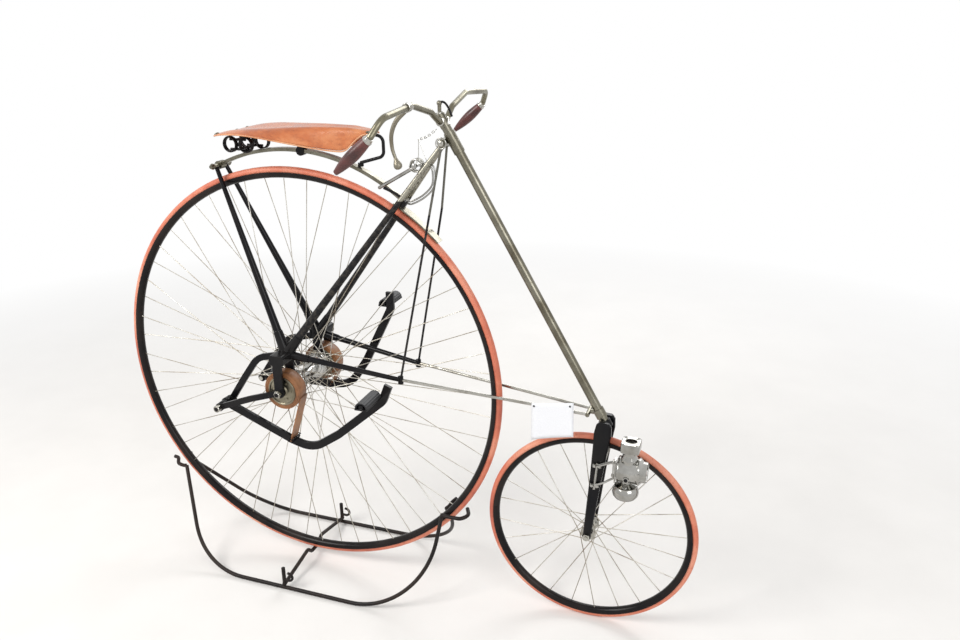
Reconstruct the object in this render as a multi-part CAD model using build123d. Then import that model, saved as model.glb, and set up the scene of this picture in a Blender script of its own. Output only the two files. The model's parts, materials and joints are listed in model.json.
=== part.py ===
from build123d import *
from math import acos, atan2, cos, degrees, hypot, radians, sin, sqrt
import os

# A lever-drive high-wheel bicycle: the large driven wheel is at the rear, the small steered wheel in front.
# Two hanging levers pull straps wound on ratchet drums, and a bent-rod display stand carries the rear wheel.
# Millimetres. +X is forward, +Y is the rider's left, +Z is up.
# The origin is on the floor, midway along the bicycle, in the plane of the wheels.

# Wheels
REAR_TYRE_RADIUS = 635.0
REAR_TYRE_SECTION = 22.0
REAR_SPOKES = 56
REAR_SPOKE_PHASE = 1.0
FRONT_TYRE_RADIUS = 305.0
FRONT_TYRE_SECTION = 20.0
FRONT_SPOKES = 24
FRONT_SPOKE_PHASE = 5.3
TYRE_GAP = 30.0
RIM_WALL = 2.6
RIM_LIP_DROP = 4.5
RIM_DEPTH = 17.0
SPOKE_DIAMETER = 2.4
SPOKE_STAGGER = 1.7
SPOKE_LEANS = (1, 1, -1, -1)
REAR_LIFT = 32.0
SEAT_GAP = 0.3

# Hubs, axles and drums, measured out from the plane of the wheels
REAR_HUB_FLANGE_RADIUS = 40.0
REAR_HUB_FLANGE_OUT = 72.0
REAR_HUB_BARREL_RADIUS = 19.0
FRONT_HUB_FLANGE_RADIUS = 21.0
FRONT_HUB_FLANGE_OUT = 30.0
FRONT_HUB_BARREL_RADIUS = 11.0
FLANGE_THICKNESS = 3.0
HUB_DOME_DEPTH = 0.8
HUB_DOME = ((0.0, 0.0), (0.48, 0.16), (0.80, 0.46), (0.95, 0.75), (1.0, 1.0))
REAR_AXLE_RADIUS = 8.0
FRONT_AXLE_RADIUS = 5.0
BEARING_GAP = 0.05
REAR_NUT_RADIUS = 12.0
REAR_NUT_LENGTH = 10.0
REAR_AXLE_END = 4.0
FRONT_NUT_RADIUS = 10.0
FRONT_NUT_LENGTH = 7.0
FRONT_AXLE_END = 3.0
INNER_PLATE_IN = 78.0
PLATE_THICKNESS = 8.0
DRUM_RADIUS = 50.0
DRUM_CHEEK = 3.0
STRAP_WOUND = 8.0
RUNNING_GAP = 5.5
DRUM_WIDTH = 46.0
STRAP_THICKNESS = 4.0
STRAP_WIDTH = 38.0

# Side yokes, from the rear axle
YOKE_ABOVE_AXLE = 101.0
YOKE_OUT = 94.0
YOKE_LENGTH = 46.0
YOKE_DEPTH = 32.0
YOKE_CORNER = 9.0
LEG_WIDTH = 28.0
LEG_EYE_WALL = 2.0
PIVOT_EYE_WALL = 6.0
LOWER_ARM_WIDTH = 18.0
LOWER_ARM_BEND = 150.0
UPPER_ARM_WIDTH = 20.0
UPPER_ARM_BEND = 70.0
UPPER_ARM_DROP = 4.0

# Arms from a yoke to the lever pivot: shares of the way back and of the way down
LOWER_ARM = ((0.0, 0.0), (0.46, 0.42), (1.0, 1.0))
UPPER_ARM = ((0.0, 0.0), (0.50, 0.14), (0.74, 0.54), (1.0, 1.0))

# Stays and rods, from the rear axle
FOOT_SHARE = 0.5528
FOOT_ABOVE_AXLE = 55.0
FOOT_OUT = 64.0
FOOT_LUG_RADIUS = 8.0
FOOT_LUG_HEIGHT = 22.0
FOOT_LUG_BITE = 1.0
STAY_ROOT_RADIUS = 12.0
STAY_TOP_RADIUS = 6.0
ARM_ROOT_RADIUS = 9.0
ARM_FOOT_RADIUS = 6.5
THIN_STAY_RADIUS = 3.2
FRONT_ROD_RADIUS = 4.5
SOCKET_LENGTH = 72.0
SOCKET_FLARE = 5.0
SOCKET_LIP = 1.5
MAIN_STAY_OUT = 7.5
REAR_STAY_OUT = 22.0
VERTICAL_STAY_OUT = 19.0
KNEE_ANGLE = 50.1
KNEE_CLEARANCE = 62.0
KNEE_OUT = 45.0
KNEE_BEND = 40.0

# Backbone, crossbar and bridge, above the large tyre
BACKBONE_CLEARANCE = 49.0
BACKBONE_DEPTH = 10.0
BACKBONE_WIDTH = 20.0
CROSSBAR_ANGLE = 109.3
CROSSBAR_CLEARANCE = 32.0
CROSSBAR_RADIUS = 7.0
CROSSBAR_OUT = 38.0
KNOB_RADIUS = 9.0
KNOB_END_RADIUS = 5.0
CLAMP_RADIUS = 12.0
CLAMP_OUT = 12.0
BRIDGE_CLEARANCE = 29.0
BRIDGE_ROD_RADIUS = 7.0
BRIDGE_END_ROOM = 0.9

# Brake: the spoon's ends are angles from the bridge, its coil stands beside the line from bridge to column
SPOON_CLEARANCE = 6.0
SPOON_THICKNESS = 4.0
SPOON_WIDTH = 30.0
SPOON_REAR_ANGLE = 1.5
SPOON_FRONT_ANGLE = 13.0
BRAKE_COIL_SHARE = 0.51
BRAKE_COIL_OFFSET = 29.0
BRAKE_COIL_RADIUS = 18.2
BRAKE_COIL_CORE = 15.0
BRAKE_COIL_WIRE = 4.4
BRAKE_COIL_TURNS = 4
BRAKE_COIL_PITCH = 5.5
BRAKE_COIL_END = 3.0
BRAKE_ARM_RADIUS = 3.5
BRAKE_ARM_ANGLE = 5.0
SICKLE_WIDTH = 8.0
SICKLE_THICKNESS = 8.0
SICKLE_FROM_COIL = ((45.0, -2.0), (46.0, -27.0))
SICKLE_FROM_BRIDGE = (36.0, 17.0)
SICKLE_BENDS = (10.0, 12.0, 30.0)

# Saddle
SADDLE_REAR = -190.0
SADDLE_LENGTH = 473.0
SADDLE_HALF_WIDTH = 114.0
SADDLE_CLEARANCE = 115.0
SADDLE_LEATHER = 5.0
SADDLE_SKIRT = 56.0

# Saddle sections, as shares of its length, half width and skirt: how far along from the rear, the middle's
# drop, the crests' distance out and drop, and the edges' distance out and drop
SADDLE_SECTIONS = (
    (0.000, 0.46, 0.31, 0.46, 0.44, 0.50),
    (0.085, 0.36, 0.53, 0.30, 0.81, 0.39),
    (0.222, 0.25, 0.63, 0.11, 1.00, 0.23),
    (0.402, 0.14, 0.60, 0.04, 0.91, 0.43),
    (0.581, 0.05, 0.46, 0.00, 0.68, 0.68),
    (0.782, 0.02, 0.32, 0.02, 0.46, 1.00),
    (0.835, 0.04, 0.28, 0.04, 0.39, 0.93),
    (0.920, 0.05, 0.23, 0.07, 0.29, 0.21),
    (1.000, 0.14, 0.12, 0.14, 0.21, 0.25),
)

# Saddle springs: their height and radius are shares of the gap between the backbone and the leather
SPRING_AHEAD = (-150.0, -99.0)
SPRING_OUT = 40.0
SPRING_HEIGHT_SHARE = 0.45
SPRING_RADIUS_SHARE = 0.43
SPRING_WIRE = 9.0
SPRING_WIDTH = 14.0
SPRING_POST_RADIUS = 10.0
SPRING_POST_ROOM = 1.0
LOOP_BEND = 18.0
LOOP_POST_RADIUS = 8.0
LOOP_START_AHEAD = 256.0
LOOP_DOWN = 0.8
LOOP_PATH = ((302.0, -22.0), (302.0, -74.0), (232.0, -94.0))

# Steering column and fork
COLUMN_ANGLE = 29.9
COLUMN_LENGTH = 889.0
COLUMN_RADIUS = 12.5
COLUMN_BORE = 9.0
STEERING_ROD_RADIUS = 8.0
CROWN_AHEAD = 26.0
CROWN_ABOVE_AXLE = 350.0
HEAD_LUG_DOWN = 44.0
HEAD_LUG_LENGTH = 60.0
HEAD_LUG_WALL = 2.5
HEAD_BOSS_BEHIND = 27.0
HEAD_BOSS_RADIUS = 11.0
HEAD_BOSS_OUT = 25.0
ROD_CLAMP_UP = 24.0
ROD_CLAMP_LENGTH = 26.0
ROD_CLAMP_WALL = 3.0
ROD_CLAMP_BEHIND = 30.0
FRONT_ROD_OUT = 20.0
ROD_EAR_RADIUS = 6.0
STEM_RADIUS = 14.0
STEM_LENGTH = 34.0
STEM_POST = 30.0
STEM_POST_RADIUS = 5.0
STEM_KNOB_RADIUS = 7.0
CROWN_RADIUS = 17.0
CROWN_LENGTH = 20.0
BLADE_OUT_TOP = 28.0
BLADE_OUT_TIP = 44.0
BLADE_THICKNESS_TOP = 13.0
BLADE_THICKNESS_TIP = 9.0
BLADE_CORNER = 3.0
BLADE_EYE_RADIUS = 12.0

# Fork blade sections: share of the way from crown to axle, and width fore and aft
BLADE_WIDTHS = ((-0.045, 26.0), (-0.015, 42.0), (0.06, 48.0), (0.18, 42.0), (0.45, 33.0), (1.0, 22.0))

# Handlebar, from the middle of the stem: ahead, out and above, then the bends at those points
BAR_RADIUS = 8.0
BAR_POINTS = (
    (0.0, 24.0, 0.0), (-2.0, 74.0, 30.0), (-3.0, 185.0, 57.0), (-2.0, 352.0, 46.0), (-22.0, 376.0, 6.0),
)
BAR_BENDS = (16.0, 40.0, 60.0, 36.0, 24.0)
GRIP_END = (-115.0, 376.0, -77.0)
GRIP_FROM_SHARE = 0.08
GRIP_SWELL_SHARE = 0.4
GRIP_FRONT_RADIUS = 11.0
GRIP_RADIUS = 15.0
GRIP_END_RADIUS = 7.0
BRAKE_CLAMP_OUT = 213.0
BRAKE_CLAMP_HALF = 7.0
BRAKE_CLAMP_WALL = 3.0
BRAKE_LEVER_RADIUS = 5.0
BRAKE_LEVER_KNOB = 8.5
BRAKE_LEVER_BEND = 25.0
BRAKE_LEVER_PATH = ((0.0, 0.0), (-33.0, -33.0), (-46.0, -85.0), (-28.0, -138.0))

# Levers, from the lever pivot, as shares of the lever's reach, as the lever with its strap run out lies
PIVOT_BEHIND = 217.0
PIVOT_BELOW = 79.0
LEVER_OUT = 112.0
LEVER_DEPTH = 24.0
LEVER_THICKNESS = 10.0
LEVER_EYE_WALL = 9.0
LEVER_REACH = 552.0
LEVER_PATH = ((0.0, 0.0), (0.409, -0.167), (0.529, -0.196), (0.692, -0.085), (0.964, 0.152), (1.0, 0.243))
LEVER_BENDS = (150.0, 90.0, 120.0, 30.0)
LEFT_LEVER_RAISED = 22.0
STRAP_HOLD = (0.409, -0.163)
STRAP_SIDE_ROOM = 1.0
PEDAL_AT = (0.9275, 0.181)
PEDAL_RADIUS = 19.0
PEDAL_LENGTH = 92.0
PEDAL_SHELL = 4.5
SLEEVE_RADIUS = 13.0
SLEEVE_RIB_RADIUS = 15.0
SLEEVE_RIB_WIDTH = 3.0
SLEEVE_RIBS = 4
PIN_RADIUS = 7.0
PIN_IN = 72.0
PIN_OUT = 166.0
PIN_CAP_RADIUS = 10.0
PIN_CAP_LENGTH = 6.0

# Lamp, from the front axle; its profile is radius and height from the lamp's middle
LAMP_AT = (110.0, -62.0, 245.0)
LAMP_RADIUS = 33.0
LAMP_FONT_RADIUS = 35.5
LAMP_FONT_TOP = -50.0
LAMP_PROFILE = (
    (0.0, -97.5), (20.0, -97.5), (31.0, -91.0), (LAMP_FONT_RADIUS, -78.0), (33.0, -65.0),
    (26.0, LAMP_FONT_TOP), (26.0, -47.0), (LAMP_RADIUS, -44.0), (LAMP_RADIUS, 26.0), (27.0, 34.0),
    (18.0, 38.0), (18.0, 68.0), (0.0, 68.0),
)
LAMP_CAP = 50.0
LAMP_CAP_HEIGHT = 30.0
LAMP_HOOD_FROM = 25.0
LAMP_HOOD_LENGTH = 20.0
LAMP_LENS_RADIUS = 26.0
LAMP_LENS_THICKNESS = 3.0
LAMP_HOOD_FLARE = 3.0
BRACKET_RADIUS = 3.5
BRACKET_END = 6.0

# Bracket arms: height on the blade and on the lamp, from the lamp's middle
BRACKET_ARMS = ((27.0, 0.0), (-28.0, -66.0))

# Display stand
STAND_ROD_RADIUS = 6.0
STAND_HOOK_OUT = 19.0
STAND_CRADLE = 44.0
CRADLE_Z = 46.0
CRADLE_BEND = 12.0
STAND_OUT = 190.0
STAND_TOP = 264.0
STAND_REAR_INSIDE = 1.7
STAND_FRONT_INSIDE = 44.0
STAND_REAR_CORNER = 330.0
STAND_FRONT_CORNER = 437.0
STAND_BEND = 240.0
STAND_NODE = -25.0
STAND_PEG = 60.0
STAND_PEG_WELD = 10.0
STAND_WELD_FLARE = 1.5

REAR_Z = REAR_TYRE_RADIUS + REAR_LIFT
FRONT_Z = FRONT_TYRE_RADIUS
WHEELBASE = sqrt((REAR_TYRE_RADIUS + FRONT_TYRE_RADIUS + TYRE_GAP) ** 2 - (REAR_Z - FRONT_Z) ** 2)
REAR_X = -(WHEELBASE + FRONT_TYRE_RADIUS - REAR_TYRE_RADIUS) / 2
FRONT_X = REAR_X + WHEELBASE
SIDES = (("right", -1), ("left", 1))

os.makedirs("parts", exist_ok=True)


def save(name, *solids):
    shape = solids[0] if len(solids) == 1 else Compound(children=list(solids))
    export_step(shape, f"parts/{name}.step")


def from_axle(ahead, out, above):
    return Vector(REAR_X + ahead, out, REAR_Z + above)


def rod(start, end, radius, end_radius=None):
    start, end = Vector(start), Vector(end)
    length = (end - start).length
    place = Plane(origin=start, z_dir=end - start)
    if end_radius is None or end_radius == radius:
        return place * Cylinder(radius, length, align=(Align.CENTER, Align.CENTER, Align.MIN))
    return place * Cone(radius, end_radius, length, align=(Align.CENTER, Align.CENTER, Align.MIN))


def across(centre, inner, outer, radius):
    return rod((centre.X, inner, centre.Z), (centre.X, outer, centre.Z), radius)


def bent_rod(points, bends, radius):
    path = FilletPolyline(*points, radius=bends)
    return sweep(Plane(origin=path @ 0, z_dir=path % 0) * Circle(radius), path)


def turned(profile, centre):
    ring = revolve(profile, Axis.Y)
    return Pos(centre.X, centre.Y, centre.Z) * ring


# Wheels: the profile's X is the radius and its Y is the distance from the wheel's plane
def tyre(radius, section, centre):
    return turned(Pos(radius - section / 2, 0) * Circle(section / 2), centre)


def rim_crown(radius, section):
    return radius - section / 2 - RIM_LIP_DROP - RIM_DEPTH


def rim(radius, section, centre):
    seat = section / 2 + SEAT_GAP
    middle = radius - section / 2
    lip = middle - RIM_LIP_DROP
    half = sqrt(seat**2 - RIM_LIP_DROP**2)
    outer = half + RIM_WALL
    outline = [
        ThreePointArc((lip, -outer), (lip - RIM_DEPTH, 0), (lip, outer)),
        Line((lip, outer), (lip, half)),
        ThreePointArc((lip, half), (middle - seat, 0), (lip, -half)),
        Line((lip, -half), (lip, -outer)),
    ]
    return turned(make_face(Curve() + outline), centre)


def hub(flange_radius, flange_out, barrel_radius, axle_radius, centre):
    bore = axle_radius + BEARING_GAP
    face = flange_out - FLANGE_THICKNESS
    depth = HUB_DOME_DEPTH * flange_radius
    swell = flange_radius - barrel_radius
    half = [(bore, 0), (barrel_radius, 0)]
    half += [(barrel_radius + out * swell, face - depth * (1 - along)) for out, along in HUB_DOME]
    half += [(flange_radius, flange_out), (bore, flange_out)]
    side = turned(make_face(Polyline(*half, close=True)), centre)
    return side + mirror(side, about=Plane.XZ)


def spokes(count, phase, flange_radius, flange_out, tyre_radius, section, centre):
    start = flange_radius + SEAT_GAP + SPOKE_DIAMETER / 2
    end = rim_crown(tyre_radius, section) - SEAT_GAP
    lead = degrees(acos(start / end))
    made = []
    for place in range(count):
        side = 1 if place % 2 else -1
        turn = SPOKE_LEANS[place % len(SPOKE_LEANS)]
        at_rim = radians(phase + place * 360.0 / count)
        at_hub = at_rim + radians(turn * lead)
        stagger = turn * SPOKE_STAGGER
        out = side * (flange_out - FLANGE_THICKNESS / 2) + stagger
        rim_out = side * 2 * SPOKE_STAGGER + stagger
        inner = Vector(start * cos(at_hub), out, start * sin(at_hub))
        outer = Vector(end * cos(at_rim), rim_out, end * sin(at_rim))
        made.append(rod(centre + inner, centre + outer, SPOKE_DIAMETER / 2))
    return made


rear_centre = Vector(REAR_X, 0, REAR_Z)
front_centre = Vector(FRONT_X, 0, FRONT_Z)
rear_hub = (REAR_HUB_FLANGE_RADIUS, REAR_HUB_FLANGE_OUT)
front_hub = (FRONT_HUB_FLANGE_RADIUS, FRONT_HUB_FLANGE_OUT)
rear_tyre = (REAR_TYRE_RADIUS, REAR_TYRE_SECTION)
front_tyre = (FRONT_TYRE_RADIUS, FRONT_TYRE_SECTION)
save("rear_tyre", tyre(*rear_tyre, rear_centre))
save("rear_rim", rim(*rear_tyre, rear_centre))
save("rear_hub", hub(*rear_hub, REAR_HUB_BARREL_RADIUS, REAR_AXLE_RADIUS, rear_centre))
save("rear_spokes", *spokes(REAR_SPOKES, REAR_SPOKE_PHASE, *rear_hub, *rear_tyre, rear_centre))
save("front_tyre", tyre(*front_tyre, front_centre))
save("front_rim", rim(*front_tyre, front_centre))
save("front_hub", hub(*front_hub, FRONT_HUB_BARREL_RADIUS, FRONT_AXLE_RADIUS, front_centre))
save("front_spokes", *spokes(FRONT_SPOKES, FRONT_SPOKE_PHASE, *front_hub, *front_tyre, front_centre))

# Side yokes: a bridge over each drum, a plate on each side of it to the axle, and two arms back to the pivot
DRUM_IN = INNER_PLATE_IN + PLATE_THICKNESS + RUNNING_GAP
OUTER_PLATE_IN = DRUM_IN + DRUM_WIDTH + RUNNING_GAP
OUTER_PLATE_OUT = OUTER_PLATE_IN + PLATE_THICKNESS
pivot = from_axle(-PIVOT_BEHIND, 0, -PIVOT_BELOW)


def plate(sketch, inner, outer, side):
    solid = extrude(Plane.XZ * sketch, amount=outer - inner)
    low = side * inner if side < 0 else outer
    return Pos(REAR_X, low, REAR_Z) * solid


def yoke_arm(shares, root_above, bend, width):
    fall = root_above + PIVOT_BELOW
    points = [(-PIVOT_BEHIND * back, root_above - fall * down) for back, down in shares]
    return trace(FilletPolyline(*points, radius=bend), width)


def side_yoke(side):
    bridge_low = YOKE_ABOVE_AXLE - YOKE_DEPTH / 2
    bridge_sketch = Pos(0, YOKE_ABOVE_AXLE) * RectangleRounded(YOKE_LENGTH, YOKE_DEPTH, YOKE_CORNER)
    leg = Pos(0, bridge_low / 2) * Rectangle(LEG_WIDTH, bridge_low + 2 * LEG_EYE_WALL)
    leg += Circle(LEG_WIDTH / 2 + LEG_EYE_WALL)
    pivot_eye = Pos(-PIVOT_BEHIND, -PIVOT_BELOW) * Circle(PIN_RADIUS + PIVOT_EYE_WALL)
    holes = Circle(REAR_AXLE_RADIUS + BEARING_GAP)
    holes += Pos(-PIVOT_BEHIND, -PIVOT_BELOW) * Circle(PIN_RADIUS + BEARING_GAP)
    lower_arm = yoke_arm(LOWER_ARM, 0, LOWER_ARM_BEND, LOWER_ARM_WIDTH)
    upper_arm = yoke_arm(UPPER_ARM, YOKE_ABOVE_AXLE - UPPER_ARM_DROP, UPPER_ARM_BEND, UPPER_ARM_WIDTH)
    outer_sketch = leg + lower_arm + pivot_eye - holes
    inner_sketch = leg + upper_arm + pivot_eye - holes
    bridge = plate(bridge_sketch, INNER_PLATE_IN, OUTER_PLATE_OUT, side)
    outer_plate = plate(outer_sketch, OUTER_PLATE_IN, OUTER_PLATE_OUT, side)
    inner_plate = plate(inner_sketch, INNER_PLATE_IN, INNER_PLATE_IN + PLATE_THICKNESS, side)
    return bridge + outer_plate + inner_plate


axle_half = OUTER_PLATE_OUT + SEAT_GAP
axle_end = axle_half + REAR_NUT_LENGTH + REAR_AXLE_END
rear_axle = across(rear_centre, -axle_end, axle_end, REAR_AXLE_RADIUS)
nut = extrude(Plane.XZ * RegularPolygon(REAR_NUT_RADIUS, 6), amount=REAR_NUT_LENGTH)
for low in (-axle_half, axle_half + REAR_NUT_LENGTH):
    rear_axle += Pos(REAR_X, low, REAR_Z) * nut
save("rear_axle", rear_axle)

# Drums, with the strap wound on them
drum_out = DRUM_IN + DRUM_WIDTH
for name, side in SIDES:
    barrel = across(rear_centre, side * DRUM_IN, side * drum_out, DRUM_RADIUS)
    wound_in = DRUM_IN + DRUM_CHEEK
    wound = across(rear_centre, side * wound_in, side * (drum_out - DRUM_CHEEK), DRUM_RADIUS + STRAP_WOUND)
    bore = across(rear_centre, side * DRUM_IN, side * drum_out, REAR_AXLE_RADIUS + BEARING_GAP)
    save(f"{name}_drum", barrel + wound - bore)

# Levers and pedals
LEVER_IN = LEVER_OUT - LEVER_THICKNESS / 2
LEVER_FAR = LEVER_OUT + LEVER_THICKNESS / 2


def turn_up(point, angle):
    a = radians(angle)
    return (point[0] * cos(a) - point[1] * sin(a), point[0] * sin(a) + point[1] * cos(a))


def reached(shares, angle=0.0):
    return turn_up((shares[0] * LEVER_REACH, shares[1] * LEVER_REACH), angle)


lever_path = FilletPolyline(*[reached(point) for point in LEVER_PATH], radius=LEVER_BENDS)
pin_hole = Circle(PIN_RADIUS + BEARING_GAP)
pedal_base = Pos(0, -PEDAL_SHELL / 2) * Rectangle(2 * PEDAL_RADIUS, PEDAL_SHELL)
pedal_cut = Pos(0, -PEDAL_RADIUS) * Rectangle(2 * PEDAL_RADIUS, 2 * PEDAL_RADIUS)
pedal_sketch = Circle(PEDAL_RADIUS) - Circle(PEDAL_RADIUS - PEDAL_SHELL) - pedal_cut + pedal_base
for name, side in SIDES:
    raised = LEFT_LEVER_RAISED if side > 0 else 0.0
    place = Pos(-PIVOT_BEHIND, -PIVOT_BELOW) * Rot(0, 0, raised)
    bar = place * (trace(lever_path, LEVER_DEPTH) + Circle(PIN_RADIUS + LEVER_EYE_WALL) - pin_hole)
    sleeve = place * (Circle(SLEEVE_RADIUS) - pin_hole)
    rib = place * (Circle(SLEEVE_RIB_RADIUS) - pin_hole)
    lever = plate(bar, LEVER_IN, LEVER_FAR, side) + plate(sleeve, DRUM_IN, drum_out, side)
    for count in range(SLEEVE_RIBS):
        rib_in = DRUM_IN + count * (LEVER_IN - DRUM_IN) / SLEEVE_RIBS
        lever += plate(rib, rib_in, rib_in + SLEEVE_RIB_WIDTH / 2, side)
    save(f"{name}_lever", lever)
    reach, rise = reached(PEDAL_AT, raised)
    pedal_centre = pivot + Vector(reach, 0, rise)
    pedal_in = LEVER_FAR + SEAT_GAP
    pedal_far = pedal_in + PEDAL_LENGTH
    pedal = plate(pedal_sketch, pedal_in, pedal_far, side)
    save(f"{name}_pedal", Pos(pedal_centre.X - REAR_X, 0, pedal_centre.Z - REAR_Z) * pedal)
    hold_x, hold_z = reached(STRAP_HOLD, raised)
    hold = Vector(hold_x - PIVOT_BEHIND, hold_z - PIVOT_BELOW)
    strap_radius = DRUM_RADIUS + STRAP_WOUND + SEAT_GAP
    meet = atan2(hold.Y, hold.X) + acos(strap_radius / hold.length)
    away = Vector(cos(meet), sin(meet))
    top = away * strap_radius
    away *= STRAP_THICKNESS
    band = make_face(Polyline(top, hold, hold + away, top + away, close=True))
    strap_in = LEVER_OUT - STRAP_WIDTH / 2
    strap_far = LEVER_OUT + STRAP_WIDTH / 2
    lever_room = place * trace(lever_path, LEVER_DEPTH + 2 * SEAT_GAP)
    strap = plate(band, strap_in, strap_far, side)
    strap -= plate(lever_room, strap_in - STRAP_SIDE_ROOM, strap_far + STRAP_SIDE_ROOM, side)
    save(f"{name}_strap", strap)

# Frame: stays rise from sockets on the yokes to a lug on the steering column and to a crossbar behind
column_up = Vector(-sin(radians(COLUMN_ANGLE)), 0, cos(radians(COLUMN_ANGLE)))
column_foot = front_centre + Vector(CROWN_AHEAD, 0, CROWN_ABOVE_AXLE)


def on_column(distance):
    return column_foot + column_up * distance


column_top = on_column(COLUMN_LENGTH)
column_tube = rod(column_foot, column_top, COLUMN_RADIUS) - rod(column_foot, column_top, COLUMN_BORE)
save("steering_column", column_tube)


def collar(distance, length, wall):
    low = on_column(distance - length / 2)
    high = on_column(distance + length / 2)
    return rod(low, high, COLUMN_RADIUS + wall) - rod(low, high, COLUMN_RADIUS + BEARING_GAP)


lug_distance = COLUMN_LENGTH - HEAD_LUG_DOWN
boss = on_column(lug_distance) + Vector(-HEAD_BOSS_BEHIND, 0, 0)
tube_hole = rod(column_foot, column_top, COLUMN_RADIUS + BEARING_GAP)
head_boss = across(boss, -HEAD_BOSS_OUT, HEAD_BOSS_OUT, HEAD_BOSS_RADIUS)
save("head_lug", collar(lug_distance, HEAD_LUG_LENGTH, HEAD_LUG_WALL) + (head_boss - tube_hole))


def polar(angle, radius, out=0.0):
    a = radians(angle)
    return from_axle(radius * cos(a), out, radius * sin(a))


crossbar = polar(CROSSBAR_ANGLE, REAR_TYRE_RADIUS + CROSSBAR_CLEARANCE)


def shortened(start, end, start_cut, end_cut):
    along = (end - start).normalized()
    return start + along * start_cut, end - along * end_cut


boss_room = across(boss, -HEAD_BOSS_OUT, HEAD_BOSS_OUT, HEAD_BOSS_RADIUS + SEAT_GAP)
crossbar_room = across(crossbar, -CROSSBAR_OUT, CROSSBAR_OUT, CROSSBAR_RADIUS + SEAT_GAP)
ear_bar = on_column(ROD_CLAMP_UP) + Vector(-ROD_CLAMP_BEHIND, 0, 0)
ear_out = FRONT_ROD_OUT + ROD_EAR_RADIUS
ear_room = across(ear_bar, -ear_out, ear_out, ROD_EAR_RADIUS + SEAT_GAP)
main_stays = []
rear_stays = []
lower_arms = []
vertical_stays = []
front_rods = []
for name, side in SIDES:
    root = from_axle(0, side * YOKE_OUT, YOKE_ABOVE_AXLE)
    foot = from_axle(FOOT_SHARE * REAR_TYRE_RADIUS, side * FOOT_OUT, FOOT_ABOVE_AXLE)
    yoke = side_yoke(side)
    lug_low = foot - Vector(0, 0, FOOT_LUG_HEIGHT / 2)
    lug_high = foot + Vector(0, 0, FOOT_LUG_HEIGHT / 2)
    seat = Vector(0, 0, SEAT_GAP)
    lug = rod(lug_low, lug_high, FOOT_LUG_RADIUS)
    lug_room = rod(lug_low - seat, lug_high + seat, FOOT_LUG_RADIUS - FOOT_LUG_BITE)
    lug_clear = rod(lug_low - seat, lug_high + seat, FOOT_LUG_RADIUS + SEAT_GAP)
    main_top = boss + Vector(0, side * MAIN_STAY_OUT, 0)
    rear_top = crossbar + Vector(0, side * REAR_STAY_OUT, 0)
    for target, cut, start_radius, end_radius, made in (
        (main_top, boss_room, STAY_ROOT_RADIUS, STAY_TOP_RADIUS, main_stays),
        (rear_top, crossbar_room, STAY_ROOT_RADIUS, STAY_TOP_RADIUS, rear_stays),
        (foot, lug_room, ARM_ROOT_RADIUS, ARM_FOOT_RADIUS, lower_arms),
    ):
        socket_end = shortened(root, target, SOCKET_LENGTH, 0)[0]
        yoke += rod(root, socket_end, start_radius + SOCKET_FLARE, start_radius + SOCKET_LIP)
        stay_start = shortened(socket_end, target, SEAT_GAP, 0)[0]
        made.append(rod(stay_start, target, start_radius, end_radius) - cut)
    save(f"{name}_side_yoke", yoke)
    lower_arms[-1] += lug
    knee = polar(KNEE_ANGLE, REAR_TYRE_RADIUS + KNEE_CLEARANCE, side * KNEE_OUT)
    vertical_top = boss + Vector(0, side * VERTICAL_STAY_OUT, 0)
    stay = bent_rod([foot, knee, vertical_top], KNEE_BEND, THIN_STAY_RADIUS)
    vertical_stays.append(stay - lug_clear - boss_room)
    ear = on_column(ROD_CLAMP_UP) + Vector(-ROD_CLAMP_BEHIND, side * FRONT_ROD_OUT, 0)
    front_rods.append(rod(foot, ear, FRONT_ROD_RADIUS) - lug_clear - ear_room)
save("main_stays", *main_stays)
save("rear_stays", *rear_stays)
save("lower_arms", *lower_arms)
save("vertical_stays", *vertical_stays)
save("front_rods", *front_rods)

ears = across(ear_bar, -ear_out, ear_out, ROD_EAR_RADIUS)
ears += rod(ear_bar, on_column(ROD_CLAMP_UP), ROD_EAR_RADIUS)
save("rod_clamp", collar(ROD_CLAMP_UP, ROD_CLAMP_LENGTH, ROD_CLAMP_WALL) + (ears - tube_hole))

# Crossbar behind the wheel's top, and the backbone over the tyre to a bridge between the main stays
crossbar_rod = across(crossbar, -CROSSBAR_OUT, CROSSBAR_OUT, CROSSBAR_RADIUS)
crossbar_rod += across(crossbar, -CLAMP_OUT, CLAMP_OUT, CLAMP_RADIUS)
for side in (-1, 1):
    knob = Vector(crossbar.X, side * CROSSBAR_OUT, crossbar.Z)
    for end in (-1, 1):
        crossbar_rod += rod(knob, knob + Vector(0, end * KNOB_RADIUS, 0), KNOB_RADIUS, KNOB_END_RADIUS)
save("rear_crossbar", crossbar_rod)

stay_rise = Vector(boss.X - REAR_X, 0, boss.Z - REAR_Z - YOKE_ABOVE_AXLE)
bridge_radius = REAR_TYRE_RADIUS + BRIDGE_CLEARANCE
dot = YOKE_ABOVE_AXLE * stay_rise.Z
square = stay_rise.length**2
share = (sqrt(dot**2 + square * (bridge_radius**2 - YOKE_ABOVE_AXLE**2)) - dot) / square
bridge = from_axle(stay_rise.X * share, 0, YOKE_ABOVE_AXLE + stay_rise.Z * share)
bridge_angle = degrees(atan2(bridge.Z - REAR_Z, bridge.X - REAR_X))
stay_out = YOKE_OUT + (MAIN_STAY_OUT - YOKE_OUT) * share
stay_radius = STAY_ROOT_RADIUS + (STAY_TOP_RADIUS - STAY_ROOT_RADIUS) * share
bridge_out = stay_out - stay_radius - BRIDGE_END_ROOM
save("stay_bridge", across(bridge, -bridge_out, bridge_out, BRIDGE_ROD_RADIUS))

crown_point = polar((CROSSBAR_ANGLE + bridge_angle) / 2, REAR_TYRE_RADIUS + BACKBONE_CLEARANCE)


def from_axle_plan(point):
    return point.X - REAR_X, point.Z - REAR_Z


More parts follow.
